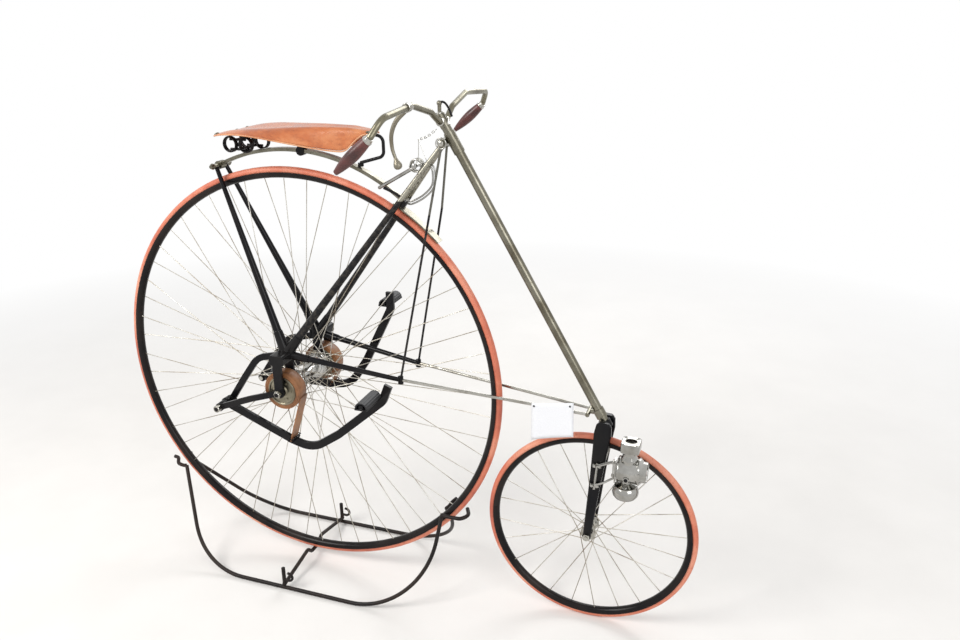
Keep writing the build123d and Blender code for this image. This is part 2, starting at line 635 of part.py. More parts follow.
backbone_path = ThreePointArc(*[from_axle_plan(point) for point in (crossbar, crown_point, bridge)])
backbone_sketch = trace(backbone_path, BACKBONE_DEPTH)
backbone_sketch -= Pos(*from_axle_plan(crossbar)) * Circle(CLAMP_RADIUS + SEAT_GAP)
backbone_sketch -= Pos(*from_axle_plan(bridge)) * Circle(BRIDGE_ROD_RADIUS + SEAT_GAP)
backbone = extrude(Plane.XZ * backbone_sketch, amount=BACKBONE_WIDTH)
backbone = Pos(REAR_X, BACKBONE_WIDTH / 2, REAR_Z) * backbone
save("backbone", max(backbone.solids(), key=lambda solid: solid.volume))

# Brake: a curved spoon over the tyre, hung from the bridge, with its coil spring and arms above
def arc_band(inner, outer, width, low_angle, high_angle, centre):
    profile = Pos((inner + outer) / 2, 0) * Rectangle(outer - inner, width)
    swept = revolve(profile, Axis.Y, high_angle - low_angle)
    return Pos(*centre) * Rot(0, -low_angle, 0) * Rot(0, -(high_angle - low_angle), 0) * swept


spoon_inner = REAR_TYRE_RADIUS + SPOON_CLEARANCE
spoon_outer = spoon_inner + SPOON_THICKNESS
spoon_front = bridge_angle - SPOON_FRONT_ANGLE
spoon_rear = bridge_angle + SPOON_REAR_ANGLE
spoon = arc_band(spoon_inner, spoon_outer, SPOON_WIDTH, spoon_front, spoon_rear, rear_centre)
hanger_low = polar(bridge_angle, (spoon_inner + spoon_outer) / 2)
hanger = rod(hanger_low, bridge, SPOON_THICKNESS)
spoon += hanger - across(bridge, -SPOON_WIDTH, SPOON_WIDTH, BRIDGE_ROD_RADIUS + SEAT_GAP)
save("brake_spoon", spoon)

to_boss = boss - bridge
aside = Vector(-to_boss.Z, 0, to_boss.X).normalized()
coil_centre = bridge + to_boss * BRAKE_COIL_SHARE + aside * BRAKE_COIL_OFFSET
coil_half = BRAKE_COIL_TURNS * BRAKE_COIL_PITCH / 2 + BRAKE_COIL_END
brake_gear = across(coil_centre, -coil_half, coil_half, BRAKE_COIL_CORE)
for count in range(BRAKE_COIL_TURNS):
    out = (count - (BRAKE_COIL_TURNS - 1) / 2) * BRAKE_COIL_PITCH
    brake_gear += across(coil_centre, out - BRAKE_COIL_WIRE / 2, out + BRAKE_COIL_WIRE / 2, BRAKE_COIL_RADIUS)
backbone_reach = REAR_TYRE_RADIUS + BACKBONE_CLEARANCE + BACKBONE_DEPTH
brake_gear += rod(coil_centre, polar(bridge_angle + BRAKE_ARM_ANGLE, backbone_reach), BRAKE_ARM_RADIUS)
coil_plan = Vector(*from_axle_plan(coil_centre))
bridge_plan = Vector(*from_axle_plan(bridge))
sickle_points = [coil_plan] + [coil_plan + Vector(*point) for point in SICKLE_FROM_COIL]
sickle_points += [bridge_plan + Vector(*SICKLE_FROM_BRIDGE), bridge_plan]
sickle = trace(FilletPolyline(*sickle_points, radius=SICKLE_BENDS), SICKLE_WIDTH)
sickle -= Pos(*bridge_plan) * Circle(BRIDGE_ROD_RADIUS + SEAT_GAP)
sickle_solid = extrude(Plane.XZ * sickle, amount=SICKLE_THICKNESS)
brake_gear += Pos(REAR_X, SICKLE_THICKNESS / 2, REAR_Z) * sickle_solid
save("brake_gear", brake_gear)

# Saddle: one hammock of leather, wide behind, drooping at its edges, on coil and loop springs
saddle_z = REAR_Z + REAR_TYRE_RADIUS + SADDLE_CLEARANCE


def saddle_section(along, middle_drop, crest, crest_drop, edge, edge_drop):
    crest, edge = crest * SADDLE_HALF_WIDTH, edge * SADDLE_HALF_WIDTH
    middle, crest_low, edge_low = [-drop * SADDLE_SKIRT for drop in (middle_drop, crest_drop, edge_drop)]
    upper = [(-edge, edge_low), (-crest, crest_low), (0, middle), (crest, crest_low), (edge, edge_low)]
    inner_edge, inner_crest = edge - SADDLE_LEATHER, crest - SADDLE_LEATHER / 2
    lower = [(inner_edge, edge_low - SADDLE_LEATHER / 2), (inner_crest, crest_low - SADDLE_LEATHER)]
    lower += [(0, middle - SADDLE_LEATHER)]
    lower += [(-inner_crest, crest_low - SADDLE_LEATHER), (-inner_edge, edge_low - SADDLE_LEATHER / 2)]
    origin = (REAR_X + SADDLE_REAR + along * SADDLE_LENGTH, 0, saddle_z)
    plane = Plane(origin=origin, x_dir=(0, 1, 0), z_dir=(1, 0, 0))
    return plane * make_face(Polyline(*upper, *lower, close=True))


def saddle_under(ahead):
    share = (ahead - SADDLE_REAR) / SADDLE_LENGTH
    for row, following in zip(SADDLE_SECTIONS, SADDLE_SECTIONS[1:]):
        if row[0] <= share <= following[0]:
            part = (share - row[0]) / (following[0] - row[0])
            drop = row[1] + (following[1] - row[1]) * part
    return saddle_z - drop * SADDLE_SKIRT - SADDLE_LEATHER


save("saddle", loft([saddle_section(*section) for section in SADDLE_SECTIONS], ruled=True))

# Springs under the saddle: a pair of coils at each side behind and a loop in front, both on the backbone
arc_middle = backbone_path.arc_center
arc_reach = backbone_path.radius + BACKBONE_DEPTH / 2


def backbone_top(ahead):
    return REAR_Z + arc_middle.Y + sqrt(arc_reach**2 - (ahead - arc_middle.X) ** 2)


def under_saddle(ahead, out, height):
    return Vector(REAR_X + ahead, out, height)


spring_middle = sum(SPRING_AHEAD) / 2
post_foot = backbone_top(spring_middle + SPRING_POST_RADIUS) + SEAT_GAP
post_top = saddle_under(spring_middle - SPRING_POST_RADIUS) - SPRING_POST_ROOM
spring_gap = post_top - post_foot
spring_z = post_foot + spring_gap * SPRING_HEIGHT_SHARE
spring_radius = spring_gap * SPRING_RADIUS_SHARE
spring_eye = spring_radius - SPRING_WIRE
spring_frame = None
for low, high in ((post_foot, spring_z - spring_eye), (spring_z + spring_eye, post_top)):
    post = rod(under_saddle(spring_middle, 0, low), under_saddle(spring_middle, 0, high), SPRING_POST_RADIUS)
    spring_frame = post if spring_frame is None else spring_frame + post
for rail_z in (spring_z - spring_eye, spring_z + spring_eye):
    right_end = under_saddle(spring_middle, -SPRING_OUT, rail_z)
    spring_frame += rod(right_end, under_saddle(spring_middle, SPRING_OUT, rail_z), SPRING_WIRE / 2)
    for side in (-1, 1):
        back, ahead = [under_saddle(place, side * SPRING_OUT, rail_z) for place in SPRING_AHEAD]
        spring_frame += rod(back, ahead, SPRING_WIRE / 2)
for ahead in SPRING_AHEAD:
    for side in (-1, 1):
        centre = under_saddle(ahead, side * SPRING_OUT, spring_z)
        inner, outer = centre.Y - SPRING_WIDTH / 2, centre.Y + SPRING_WIDTH / 2
        spring_frame += across(centre, inner, outer, spring_radius) - across(centre, inner, outer, spring_eye)
save("saddle_springs", spring_frame)
loop_high = saddle_under(LOOP_START_AHEAD) - SPRING_WIRE / 2 - LOOP_DOWN
loop_start = under_saddle(LOOP_START_AHEAD, 0, loop_high)
loop_points = [loop_start] + [under_saddle(ahead, 0, saddle_z + rise) for ahead, rise in LOOP_PATH]
loop_foot = under_saddle(LOOP_PATH[-1][0], 0, backbone_top(LOOP_PATH[-1][0] - LOOP_POST_RADIUS) + SEAT_GAP)
loop = bent_rod(loop_points, LOOP_BEND, SPRING_WIRE / 2)
save("saddle_loop", loop + rod(loop_foot, loop_points[-1], LOOP_POST_RADIUS))

# Steering: the rod down the column, the stem and bar above, the fork below
crown_low = on_column(-CROWN_LENGTH - SEAT_GAP)
crown = rod(crown_low, on_column(-SEAT_GAP), CROWN_RADIUS)
crown_shoulder = across(on_column(-CROWN_LENGTH / 2), -BLADE_OUT_TOP, BLADE_OUT_TOP, CROWN_LENGTH / 2)


def blade_ends(side):
    top = on_column(-CROWN_LENGTH / 2) + Vector(0, side * BLADE_OUT_TOP, 0)
    return top, front_centre + Vector(0, side * BLADE_OUT_TIP, 0)


def blade_thickness(share):
    return BLADE_THICKNESS_TOP + (BLADE_THICKNESS_TIP - BLADE_THICKNESS_TOP) * share


def blade_section(side, share, width):
    top, tip = blade_ends(side)
    plane = Plane(origin=top + (tip - top) * share, x_dir=(0, 1, 0), z_dir=tip - top)
    x, y = blade_thickness(share) / 2, width / 2
    cut = BLADE_CORNER
    corners = [(x, y - cut), (x - cut, y), (cut - x, y), (-x, y - cut)]
    corners += [(-x, cut - y), (cut - x, -y), (x - cut, -y), (x, cut - y)]
    return plane * make_face(Polyline(*corners, close=True))


def blade(side):
    tip = blade_ends(side)[1]
    half = BLADE_THICKNESS_TIP / 2
    bar = loft([blade_section(side, share, width) for share, width in BLADE_WIDTHS], ruled=True)
    return bar + across(tip, tip.Y - half, tip.Y + half, BLADE_EYE_RADIUS)


tip_hole = across(front_centre, -2 * BLADE_OUT_TIP, 2 * BLADE_OUT_TIP, FRONT_AXLE_RADIUS + BEARING_GAP)
fork = crown + crown_shoulder + blade(-1) + blade(1) - tip_hole
save("fork", fork)
front_nut_in = BLADE_OUT_TIP + BLADE_THICKNESS_TIP / 2 + SEAT_GAP
front_nut_out = front_nut_in + FRONT_NUT_LENGTH
front_axle_end = front_nut_out + FRONT_AXLE_END
front_axle = across(front_centre, -front_axle_end, front_axle_end, FRONT_AXLE_RADIUS)
for side in (-1, 1):
    front_axle += across(front_centre, side * front_nut_in, side * front_nut_out, FRONT_NUT_RADIUS)
save("front_axle", front_axle)

stem_low = on_column(COLUMN_LENGTH + SEAT_GAP)
stem_high = on_column(COLUMN_LENGTH + SEAT_GAP + STEM_LENGTH)
bar_centre = on_column(COLUMN_LENGTH + SEAT_GAP + STEM_LENGTH / 2)
bar_hole = across(bar_centre, -2 * STEM_RADIUS, 2 * STEM_RADIUS, BAR_RADIUS + BEARING_GAP)
post_end = stem_high + Vector(0, 0, STEM_POST)
post = rod(stem_high, post_end, STEM_POST_RADIUS) + Pos(*post_end) * Sphere(STEM_KNOB_RADIUS)
inner_rod = rod(column_foot, on_column(COLUMN_LENGTH + 2 * SEAT_GAP), STEERING_ROD_RADIUS)
save("steering_stem", rod(stem_low, stem_high, STEM_RADIUS) + post + inner_rod - bar_hole)


def mirrored_point(offset, side):
    return bar_centre + Vector(offset[0], side * offset[1], offset[2])


bar = None
grips = []
for side in (-1, 1):
    points = [bar_centre] + [mirrored_point(point, side) for point in BAR_POINTS]
    grip_end = mirrored_point(GRIP_END, side)
    bar_end = points[-1] + (grip_end - points[-1]) * GRIP_FROM_SHARE
    half = bent_rod(points + [bar_end], BAR_BENDS, BAR_RADIUS)
    bar = half if bar is None else bar + half
    grip_from, grip_to = shortened(bar_end, grip_end, SEAT_GAP, 0)
    swell = grip_from + (grip_to - grip_from) * GRIP_SWELL_SHARE
    front_part = rod(grip_from, swell, GRIP_FRONT_RADIUS, GRIP_RADIUS)
    grips.append(front_part + rod(swell, grip_to, GRIP_RADIUS, GRIP_END_RADIUS))
save("handlebar", bar)
save("grips", *grips)

clamp_run = mirrored_point(BAR_POINTS[3], -1) - mirrored_point(BAR_POINTS[2], -1)
clamp_share = (BRAKE_CLAMP_OUT - BAR_POINTS[2][1]) / (BAR_POINTS[3][1] - BAR_POINTS[2][1])
clamp_at = mirrored_point(BAR_POINTS[2], -1) + clamp_run * clamp_share
clamp_way = clamp_run.normalized() * BRAKE_CLAMP_HALF
hand_clamp = rod(clamp_at - clamp_way, clamp_at + clamp_way, BAR_RADIUS + BRAKE_CLAMP_WALL)
hand_points = [clamp_at + Vector(dx, 0, dz) for dx, dz in BRAKE_LEVER_PATH]
hand_lever = bent_rod(hand_points, BRAKE_LEVER_BEND, BRAKE_LEVER_RADIUS) + hand_clamp
hand_lever += Pos(*hand_points[-1]) * Sphere(BRAKE_LEVER_KNOB)
bar_room = rod(clamp_at - 2 * clamp_way, clamp_at + 2 * clamp_way, BAR_RADIUS + BEARING_GAP)
save("brake_hand_lever", hand_lever - bar_room)

# Lamp beside the fork, on a bracket from the right blade
lamp_centre = front_centre + Vector(*LAMP_AT)
lamp_face = Plane.XZ * make_face(Polyline(*LAMP_PROFILE, close=True))
lamp_body = Pos(*lamp_centre) * revolve(lamp_face, Axis.Z)
lamp_cap = Box(LAMP_CAP, LAMP_CAP, LAMP_CAP_HEIGHT, align=(Align.CENTER, Align.CENTER, Align.MIN))
lamp_body += Pos(*(lamp_centre + Vector(0, 0, LAMP_PROFILE[-1][1]))) * lamp_cap
hood_from = lamp_centre + Vector(LAMP_HOOD_FROM, 0, 0)
hood_to = hood_from + Vector(LAMP_HOOD_LENGTH, 0, 0)
save("lamp", lamp_body + rod(hood_from, hood_to, LAMP_LENS_RADIUS, LAMP_LENS_RADIUS + LAMP_HOOD_FLARE))
lens_from = hood_to + Vector(SEAT_GAP, 0, 0)
save("lamp_lens", rod(lens_from, lens_from + Vector(LAMP_LENS_THICKNESS, 0, 0), LAMP_LENS_RADIUS))


def beside_blade(height):
    top, tip = blade_ends(-1)
    share = (top.Z - height) / (top.Z - tip.Z)
    middle = top + (tip - top) * share
    out = blade_thickness(share) / 2 + BRACKET_RADIUS + SEAT_GAP
    return Vector(middle.X, middle.Y - out, height)


high_end = lamp_centre.Z + BRACKET_ARMS[0][0] + BRACKET_END
low_end = lamp_centre.Z + BRACKET_ARMS[1][0] - BRACKET_END
bracket = rod(beside_blade(low_end), beside_blade(high_end), BRACKET_RADIUS)
for on_blade, on_lamp in BRACKET_ARMS:
    start = beside_blade(lamp_centre.Z + on_blade)
    bracket += rod(start, lamp_centre + Vector(0, 0, on_lamp), BRACKET_RADIUS)
lamp_neck = lamp_centre + Vector(0, 0, LAMP_FONT_TOP)
lamp_floor = lamp_centre + Vector(0, 0, LAMP_PROFILE[0][1])
bracket -= rod(lamp_neck, lamp_centre - Vector(0, 0, LAMP_PROFILE[0][1]), LAMP_RADIUS + SEAT_GAP)
bracket -= rod(lamp_floor, lamp_neck, LAMP_FONT_RADIUS + SEAT_GAP)
save("lamp_bracket", bracket)

# Lever pivots: one pin on each side through both plates and the lever
for name, side in SIDES:
    pin = across(pivot, side * PIN_IN, side * PIN_OUT, PIN_RADIUS)
    cap_in = OUTER_PLATE_OUT + SEAT_GAP
    pin += across(pivot, side * cap_in, side * (cap_in + PIN_CAP_LENGTH), PIN_CAP_RADIUS)
    save(f"{name}_pivot_pin", pin)

# Display stand: a bent side rod on each side, hooked beside the wheel in front and behind, and a cross rod
slope = hypot(STAND_OUT - STAND_HOOK_OUT, STAND_TOP - STAND_ROD_RADIUS)
wheel_reach = sqrt(REAR_TYRE_RADIUS**2 - (REAR_Z - STAND_TOP) ** 2)
stand_rear = wheel_reach - STAND_REAR_INSIDE
stand_front = wheel_reach - STAND_FRONT_INSIDE


def stand_side(side):
    lean = Vector(0, -side * (STAND_OUT - STAND_HOOK_OUT) / slope, (STAND_TOP - STAND_ROD_RADIUS) / slope)
    floor = Vector(REAR_X, side * STAND_OUT, STAND_ROD_RADIUS)
    profile = [(-stand_rear, slope), (-STAND_REAR_CORNER, 0), (STAND_FRONT_CORNER, 0), (stand_front, slope)]
    points = [floor + Vector(x, 0, 0) + lean * up for x, up in profile]
    return bent_rod(points, [STAND_BEND, STAND_BEND], STAND_ROD_RADIUS)


for name, side in SIDES:
    save(f"stand_{name}_side", stand_side(side))
node_z = 3 * STAND_ROD_RADIUS + SEAT_GAP
dip_z = REAR_LIFT - STAND_ROD_RADIUS - SEAT_GAP
cross_points = [(-STAND_OUT, node_z), (-STAND_CRADLE, CRADLE_Z), (-STAND_CRADLE / 2, dip_z),
                (STAND_CRADLE / 2, dip_z), (STAND_CRADLE, CRADLE_Z), (STAND_OUT, node_z)]
cross = bent_rod([(REAR_X + STAND_NODE, y, z) for y, z in cross_points], CRADLE_BEND, STAND_ROD_RADIUS)
for side in (-1, 1):
    node = Vector(REAR_X + STAND_NODE, side * STAND_OUT, node_z)
    peg_foot = node + Vector(0, 0, STAND_PEG_WELD)
    cross += rod(node, peg_foot, STAND_ROD_RADIUS + STAND_WELD_FLARE, STAND_ROD_RADIUS)
    cross += rod(peg_foot, node + Vector(0, 0, STAND_PEG), STAND_ROD_RADIUS)
save("stand_cross_rod", cross)
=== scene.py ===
import json
from math import acos, atan2, cos, pi, radians, sin

import bmesh
import bpy
from mathutils import Matrix, Vector


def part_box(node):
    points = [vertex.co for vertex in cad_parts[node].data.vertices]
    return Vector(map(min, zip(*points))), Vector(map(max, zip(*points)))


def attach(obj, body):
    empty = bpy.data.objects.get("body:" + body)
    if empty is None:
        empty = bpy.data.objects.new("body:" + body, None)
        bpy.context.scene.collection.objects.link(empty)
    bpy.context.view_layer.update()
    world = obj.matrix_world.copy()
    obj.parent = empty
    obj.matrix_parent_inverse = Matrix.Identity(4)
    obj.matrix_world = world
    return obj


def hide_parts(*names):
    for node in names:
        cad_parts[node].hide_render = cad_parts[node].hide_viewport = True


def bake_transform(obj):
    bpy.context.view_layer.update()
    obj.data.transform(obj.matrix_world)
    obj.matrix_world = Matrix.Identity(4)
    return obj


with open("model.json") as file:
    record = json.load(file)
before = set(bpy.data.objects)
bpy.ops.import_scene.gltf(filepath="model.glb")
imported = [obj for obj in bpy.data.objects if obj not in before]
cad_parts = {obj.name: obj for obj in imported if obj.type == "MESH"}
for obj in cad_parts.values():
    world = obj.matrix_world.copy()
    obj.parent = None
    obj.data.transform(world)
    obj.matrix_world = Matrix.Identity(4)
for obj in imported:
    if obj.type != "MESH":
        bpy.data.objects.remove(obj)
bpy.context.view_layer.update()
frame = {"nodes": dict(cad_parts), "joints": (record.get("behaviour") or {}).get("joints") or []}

# The dressed bicycle. Metres, in the CAD frame: +X forward, +Y the rider's left, +Z up, origin on the floor.

# Places taken from the frame
rear_low, rear_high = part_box("rear_tyre")
front_low, front_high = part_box("front_tyre")
REAR = (rear_low + rear_high) / 2
FRONT = (front_low + front_high) / 2
nodes = frame["nodes"]
joints = {joint["name"]: joint for joint in frame["joints"]}
COLUMN_FOOT = Vector(joints["steering_turn"]["pos_m"])
COLUMN_UP = Vector(joints["steering_turn"]["axis"])
PIVOT = Vector(joints["right_lever_swing"]["pos_m"])
AHEAD, ACROSS, UP = Vector((1, 0, 0)), Vector((0, 1, 0)), Vector((0, 0, 1))
SIDES = (("right", -1), ("left", 1))


def from_rear(ahead, out, above):
    return REAR + Vector((ahead, out, above))


def from_front(ahead, out, above):
    return FRONT + Vector((ahead, out, above))


def placed(name, data):
    made = bpy.data.objects.new(name, data)
    bpy.context.scene.collection.objects.link(made)
    return made


# Camera: the photograph's own place and angles, found from the wheels and the floor's tiles
CAMERA_AT = Vector((0.993, -2.007, 1.699))
CAMERA_YAW = 0.339167
CAMERA_PITCH = 0.356478
CAMERA_ROLL = -0.010192
CAMERA_FOCAL_PIXELS = 823.5
IMAGE_WIDTH = 960
SENSOR_WIDTH = 36.0


def add_camera():
    level = Vector((cos(CAMERA_YAW), sin(CAMERA_YAW), 0))
    ahead = UP.cross(level) * cos(CAMERA_PITCH) - UP * sin(CAMERA_PITCH)
    up = level.cross(ahead)
    right = cos(CAMERA_ROLL) * level + sin(CAMERA_ROLL) * up
    up = cos(CAMERA_ROLL) * up - sin(CAMERA_ROLL) * level
    data = bpy.data.cameras.new("camera")
    data.sensor_width = SENSOR_WIDTH
    data.lens = CAMERA_FOCAL_PIXELS / IMAGE_WIDTH * SENSOR_WIDTH
    camera = placed("camera", data)
    camera.matrix_world = Matrix([
        [right.x, up.x, -ahead.x, CAMERA_AT.x],
        [right.y, up.y, -ahead.y, CAMERA_AT.y],
        [right.z, up.z, -ahead.z, CAMERA_AT.z],
        [0, 0, 0, 1],
    ])
    bpy.context.scene.camera = camera


add_camera()


# Materials
MIX_FIRST, MIX_SECOND, MIX_RESULT = 6, 7, 2  # the Mix node's sockets for colours


class Nodes:
    """A node tree with a few short calls."""

    def __init__(self, tree):
        self.tree = tree

    def put(self, socket, value):
        """A socket linked to an output, or set to a value."""
        if isinstance(value, bpy.types.NodeSocket):
            self.tree.links.new(value, socket)
        else:
            socket.default_value = value

    def node(self, kind, **inputs):
        made = self.tree.nodes.new("ShaderNode" + kind)
        for name, value in inputs.items():
            self.put(made.inputs[name.replace("_", " ")], value)
        return made

    def maths(self, operation, first, second):
        node = self.node("Math")
        node.operation = operation
        self.put(node.inputs[0], first)
        self.put(node.inputs[1], second)
        return node.outputs["Value"]

    def spread(self, source, low, high, start=0.3, end=0.7):
        """A source between start and end, carried to low and high."""
        node = self.node("MapRange", Value=source, From_Min=start, From_Max=end, To_Min=low, To_Max=high)
        return node.outputs["Result"]


class Shader(Nodes):
    """A principled material, textured by place on the object."""

    def __init__(self, name):
        self.material = bpy.data.materials.new(name)
        self.material.use_nodes = True
        super().__init__(self.material.node_tree)
        self.principled = self.tree.nodes["Principled BSDF"]
        self.place = self.node("TexCoord").outputs["Object"]

    def set(self, **values):
        for name, value in values.items():
            self.put(self.principled.inputs[name.replace("_", " ")], value)
        return self

    def noise(self, scale, detail=4.0, rough=0.55, stretch=None):
        place = self.place
        if stretch:
            place = self.node("Mapping", Vector=place, Scale=stretch).outputs["Vector"]
        return self.node("TexNoise", Vector=place, Scale=scale, Detail=detail, Roughness=rough).outputs["Fac"]

    def cells(self, scale):
        return self.node("TexVoronoi", Vector=self.place, Scale=scale).outputs["Distance"]

    def ramp(self, source, *stops):
        node = self.node("ValToRGB", Fac=source)
        elements = node.color_ramp.elements
        while len(elements) < len(stops):
            elements.new(0.5)
        for element, (at, colour) in zip(elements, stops):
            element.position = at
            element.color = (*colour, 1.0)
        return node.outputs["Color"]

    def mix(self, share, first, second):
        node = self.node("Mix")
        node.data_type = "RGBA"
        for socket, source in (("Factor", share), (MIX_FIRST, first), (MIX_SECOND, second)):
            self.put(node.inputs[socket], source)
        return node.outputs[MIX_RESULT]

    def above(self, height, fade=0.001):
        """1 over a height of the object's own Z, 0 under it."""
        node = self.node("SeparateXYZ", Vector=self.place)
        return self.spread(node.outputs["Z"], 0.0, 1.0, height - fade, height + fade)

    def upward(self, start, end):
        """1 on faces that look up, 0 on the others."""
        node = self.node("SeparateXYZ", Vector=self.node("NewGeometry").outputs["Normal"])
        return self.spread(node.outputs["Z"], 0.0, 1.0, start, end)

    def soften(self, radius):
        """Edges that look rounded."""
        node = self.node("Bevel", Radius=radius)
        node.samples = 4
        return self.set(Normal=node.outputs["Normal"])

    def bump(self, source, strength, distance):
        node = self.node("Bump", Height=source, Strength=strength, Distance=distance)
        before = self.principled.inputs["Normal"].links
        if before:
            self.put(node.inputs["Normal"], before[0].from_socket)
        return self.set(Normal=node.outputs["Normal"])

    def finish(self, colour, rough, *bumps):
        self.set(Base_Color=colour, Roughness=rough)
        for bump in bumps:
            self.bump(*bump)
        return self.material


def plated(name, bright, dull, brown, smooth, worn, pitting=1.0):
    shader = Shader(name).set(Metallic=1.0)
    broad = shader.noise(9.0, 6.0, 0.6)
    spots = shader.noise(160.0, 3.0, 0.7)
    base = shader.ramp(broad, (0.32, brown), (0.46, dull), (0.62, bright))
    spotted = shader.ramp(spots, (0.36, brown), (0.44, bright))
    share = shader.spread(spots, 0.75 * pitting, 0.0, 0.34, 0.46)
    colour = shader.mix(share, base, spotted)
    return shader.finish(colour, shader.spread(broad, worn, smooth), (spots, 0.12 * pitting, 0.0004))


def enamelled(name, colour, faded, smooth, worn, edges=0.0022):
    shader = Shader(name).set(Metallic=0.0, IOR=1.5, Specular_IOR_Level=0.15).soften(edges)
    broad = shader.noise(7.0, 5.0)
    dust = shader.noise(90.0, 4.0, 0.65)
    base = shader.ramp(broad, (0.4, colour), (0.68, faded))
    dusty = shader.ramp(dust, (0.55, colour), (0.72, faded))
    colour = shader.mix(shader.spread(dust, 0.0, 0.8, 0.52, 0.72), base, dusty)
    return shader.finish(colour, shader.spread(broad, smooth, worn), (dust, 0.06, 0.0005))


def rubber(name, colour, dark, pale, gloss):
    shader = Shader(name).set(Metallic=0.0, IOR=1.45)
    broad = shader.noise(5.0, 6.0, 0.6)
    fine = shader.noise(220.0, 4.0, 0.6)
    base = shader.ramp(broad, (0.34, dark), (0.48, colour), (0.66, pale))
    speckled = shader.ramp(fine, (0.34, dark), (0.45, colour))
    colour = shader.mix(shader.spread(fine, 0.7, 0.0, 0.34, 0.46), base, speckled)
    return shader.finish(colour, shader.spread(broad, gloss, gloss + 0.22), (fine, 0.18, 0.0006))


def dusty_top_lit_rubber(name, colour, dust, rough):
    """Black rubber, grey on the faces that look up: dust, and painted light from above."""
    shader = Shader(name).set(IOR=1.45)
    fine = shader.noise(140.0, 5.0, 0.65)
    black = shader.ramp(fine, (0.35, colour), (0.7, tuple(1.8 * share for share in colour)))
    grey = shader.ramp(fine, (0.35, tuple(0.6 * share for share in dust)), (0.62, dust))
    # the faces that look up take the grey: dust, and painted light from above
    colour = shader.mix(shader.upward(0.25, 0.85), black, grey)
    return shader.finish(colour, shader.spread(fine, rough, rough + 0.2), (fine, 0.2, 0.0006))


def two_tone(name, height, lower, upper, speck):
    """Enamel up to a height and plating over it."""
    shader = Shader(name).set(IOR=1.5, Specular_IOR_Level=0.2)
    plating = shader.above(height)
    grime = shader.noise(70.0, 5.0, 0.65)
    dark = shader.ramp(grime, (0.45, lower), (0.72, speck))
    light = shader.ramp(grime, (0.34, speck), (0.46, upper))
    colour = shader.mix(plating, dark, light)
    shader.set(Metallic=plating)
    return shader.finish(colour, shader.spread(grime, 0.24, 0.36), (grime, 0.05, 0.0004))


def leather(name, colour, dark, pale, gloss, grain):
    shader = Shader(name).set(Metallic=0.0, IOR=1.5)
    broad = shader.noise(11.0, 6.0, 0.6)
    pores = shader.cells(grain)
    creases = shader.noise(60.0, 6.0, 0.7, (0.35, 1.0, 1.0))
    base = shader.ramp(broad, (0.32, dark), (0.5, colour), (0.7, pale))
    worn = shader.ramp(creases, (0.36, dark), (0.5, colour), (0.66, pale))
    colour = shader.mix(shader.spread(creases, 0.55, 0.1, 0.3, 0.6), base, worn)
    return shader.finish(colour, shader.spread(broad, gloss, gloss + 0.2), (creases, 0.15, 0.0012),
                         (pores, 0.2, 0.0004))


def wooden(name, colour, dark, gloss):
    shader = Shader(name).set(Metallic=0.0, IOR=1.5)
    streaks = shader.noise(45.0, 5.0, 0.6, (0.35, 1.0, 0.8))
    colour = shader.ramp(streaks, (0.35, dark), (0.62, colour))
    return shader.finish(colour, shader.spread(streaks, gloss, gloss + 0.18), (streaks, 0.1, 0.0005))


def card(name):
    shader = Shader(name).set(Metallic=0.0)
    fibre = shader.noise(300.0, 4.0, 0.6)
    colour = shader.ramp(fibre, (0.3, (0.74, 0.75, 0.78)), (0.7, (0.8, 0.81, 0.84)))
    return shader.finish(colour, shader.spread(fibre, 0.45, 0.6), (fibre, 0.05, 0.0002))


def clear_glass(name):
    shader = Shader(name).set(Metallic=0.0, IOR=1.5, Transmission_Weight=1.0)
    smear = shader.noise(35.0, 3.0)
    colour = shader.ramp(smear, (0.3, (0.86, 0.88, 0.86)), (0.7, (0.97, 0.98, 0.98)))
    return shader.finish(colour, shader.spread(smear, 0.02, 0.12))


RED_RUBBER = rubber("red_rubber", (0.6, 0.17, 0.098), (0.42, 0.098, 0.06), (0.74, 0.33, 0.22), 0.36)
BLACK_ENAMEL = enamelled("black_enamel", (0.004, 0.004, 0.0055), (0.012, 0.011, 0.011), 0.07, 0.2)
SOFT_ENAMEL = enamelled("soft_enamel", (0.004, 0.004, 0.0055), (0.01, 0.0095, 0.0095), 0.06, 0.16, 0.006)
RIM_ENAMEL = enamelled("rim_enamel", (0.006, 0.005, 0.0055), (0.022, 0.016, 0.014), 0.16, 0.34)
AGED_NICKEL = plated("aged_nickel", (0.225, 0.213, 0.17), (0.165, 0.154, 0.118), (0.09, 0.077, 0.052), 0.2,
                     0.38)
BAR_NICKEL = plated("bar_nickel", (0.24, 0.225, 0.165), (0.17, 0.155, 0.11), (0.09, 0.075, 0.05), 0.24, 0.4)
BRIGHT_NICKEL = plated("bright_nickel", (0.5, 0.49, 0.455), (0.38, 0.37, 0.335), (0.2, 0.18, 0.145), 0.1,
                       0.24)
STAY_FINISH = two_tone("stay_finish", 1.232, (0.0055, 0.0055, 0.007), (0.34, 0.325, 0.27),
                       (0.05, 0.043, 0.035))
# The thin stays' plating is a darker copy of the main stays' nickel: painted shade
THIN_STAY_FINISH = two_tone("thin_stay_finish", 1.202, (0.0055, 0.0055, 0.007), (0.14, 0.135, 0.115),
                            (0.05, 0.043, 0.035))
SPOKE_STEEL = plated("spoke_steel", (0.62, 0.6, 0.55), (0.42, 0.39, 0.33), (0.2, 0.15, 0.1), 0.25, 0.5)
TAN_LEATHER = leather("tan_leather", (0.5, 0.145, 0.048), (0.28, 0.066, 0.024), (0.64, 0.26, 0.11), 0.13,
                      900.0)
HUB_NICKEL = plated("hub_nickel", (0.6, 0.6, 0.59), (0.5, 0.5, 0.485), (0.36, 0.35, 0.33), 0.05, 0.12,
                    0.15)
LAMP_NICKEL = plated("lamp_nickel", (0.46, 0.455, 0.435), (0.34, 0.335, 0.315), (0.19, 0.18, 0.155), 0.05,
                     0.15, 0.25)
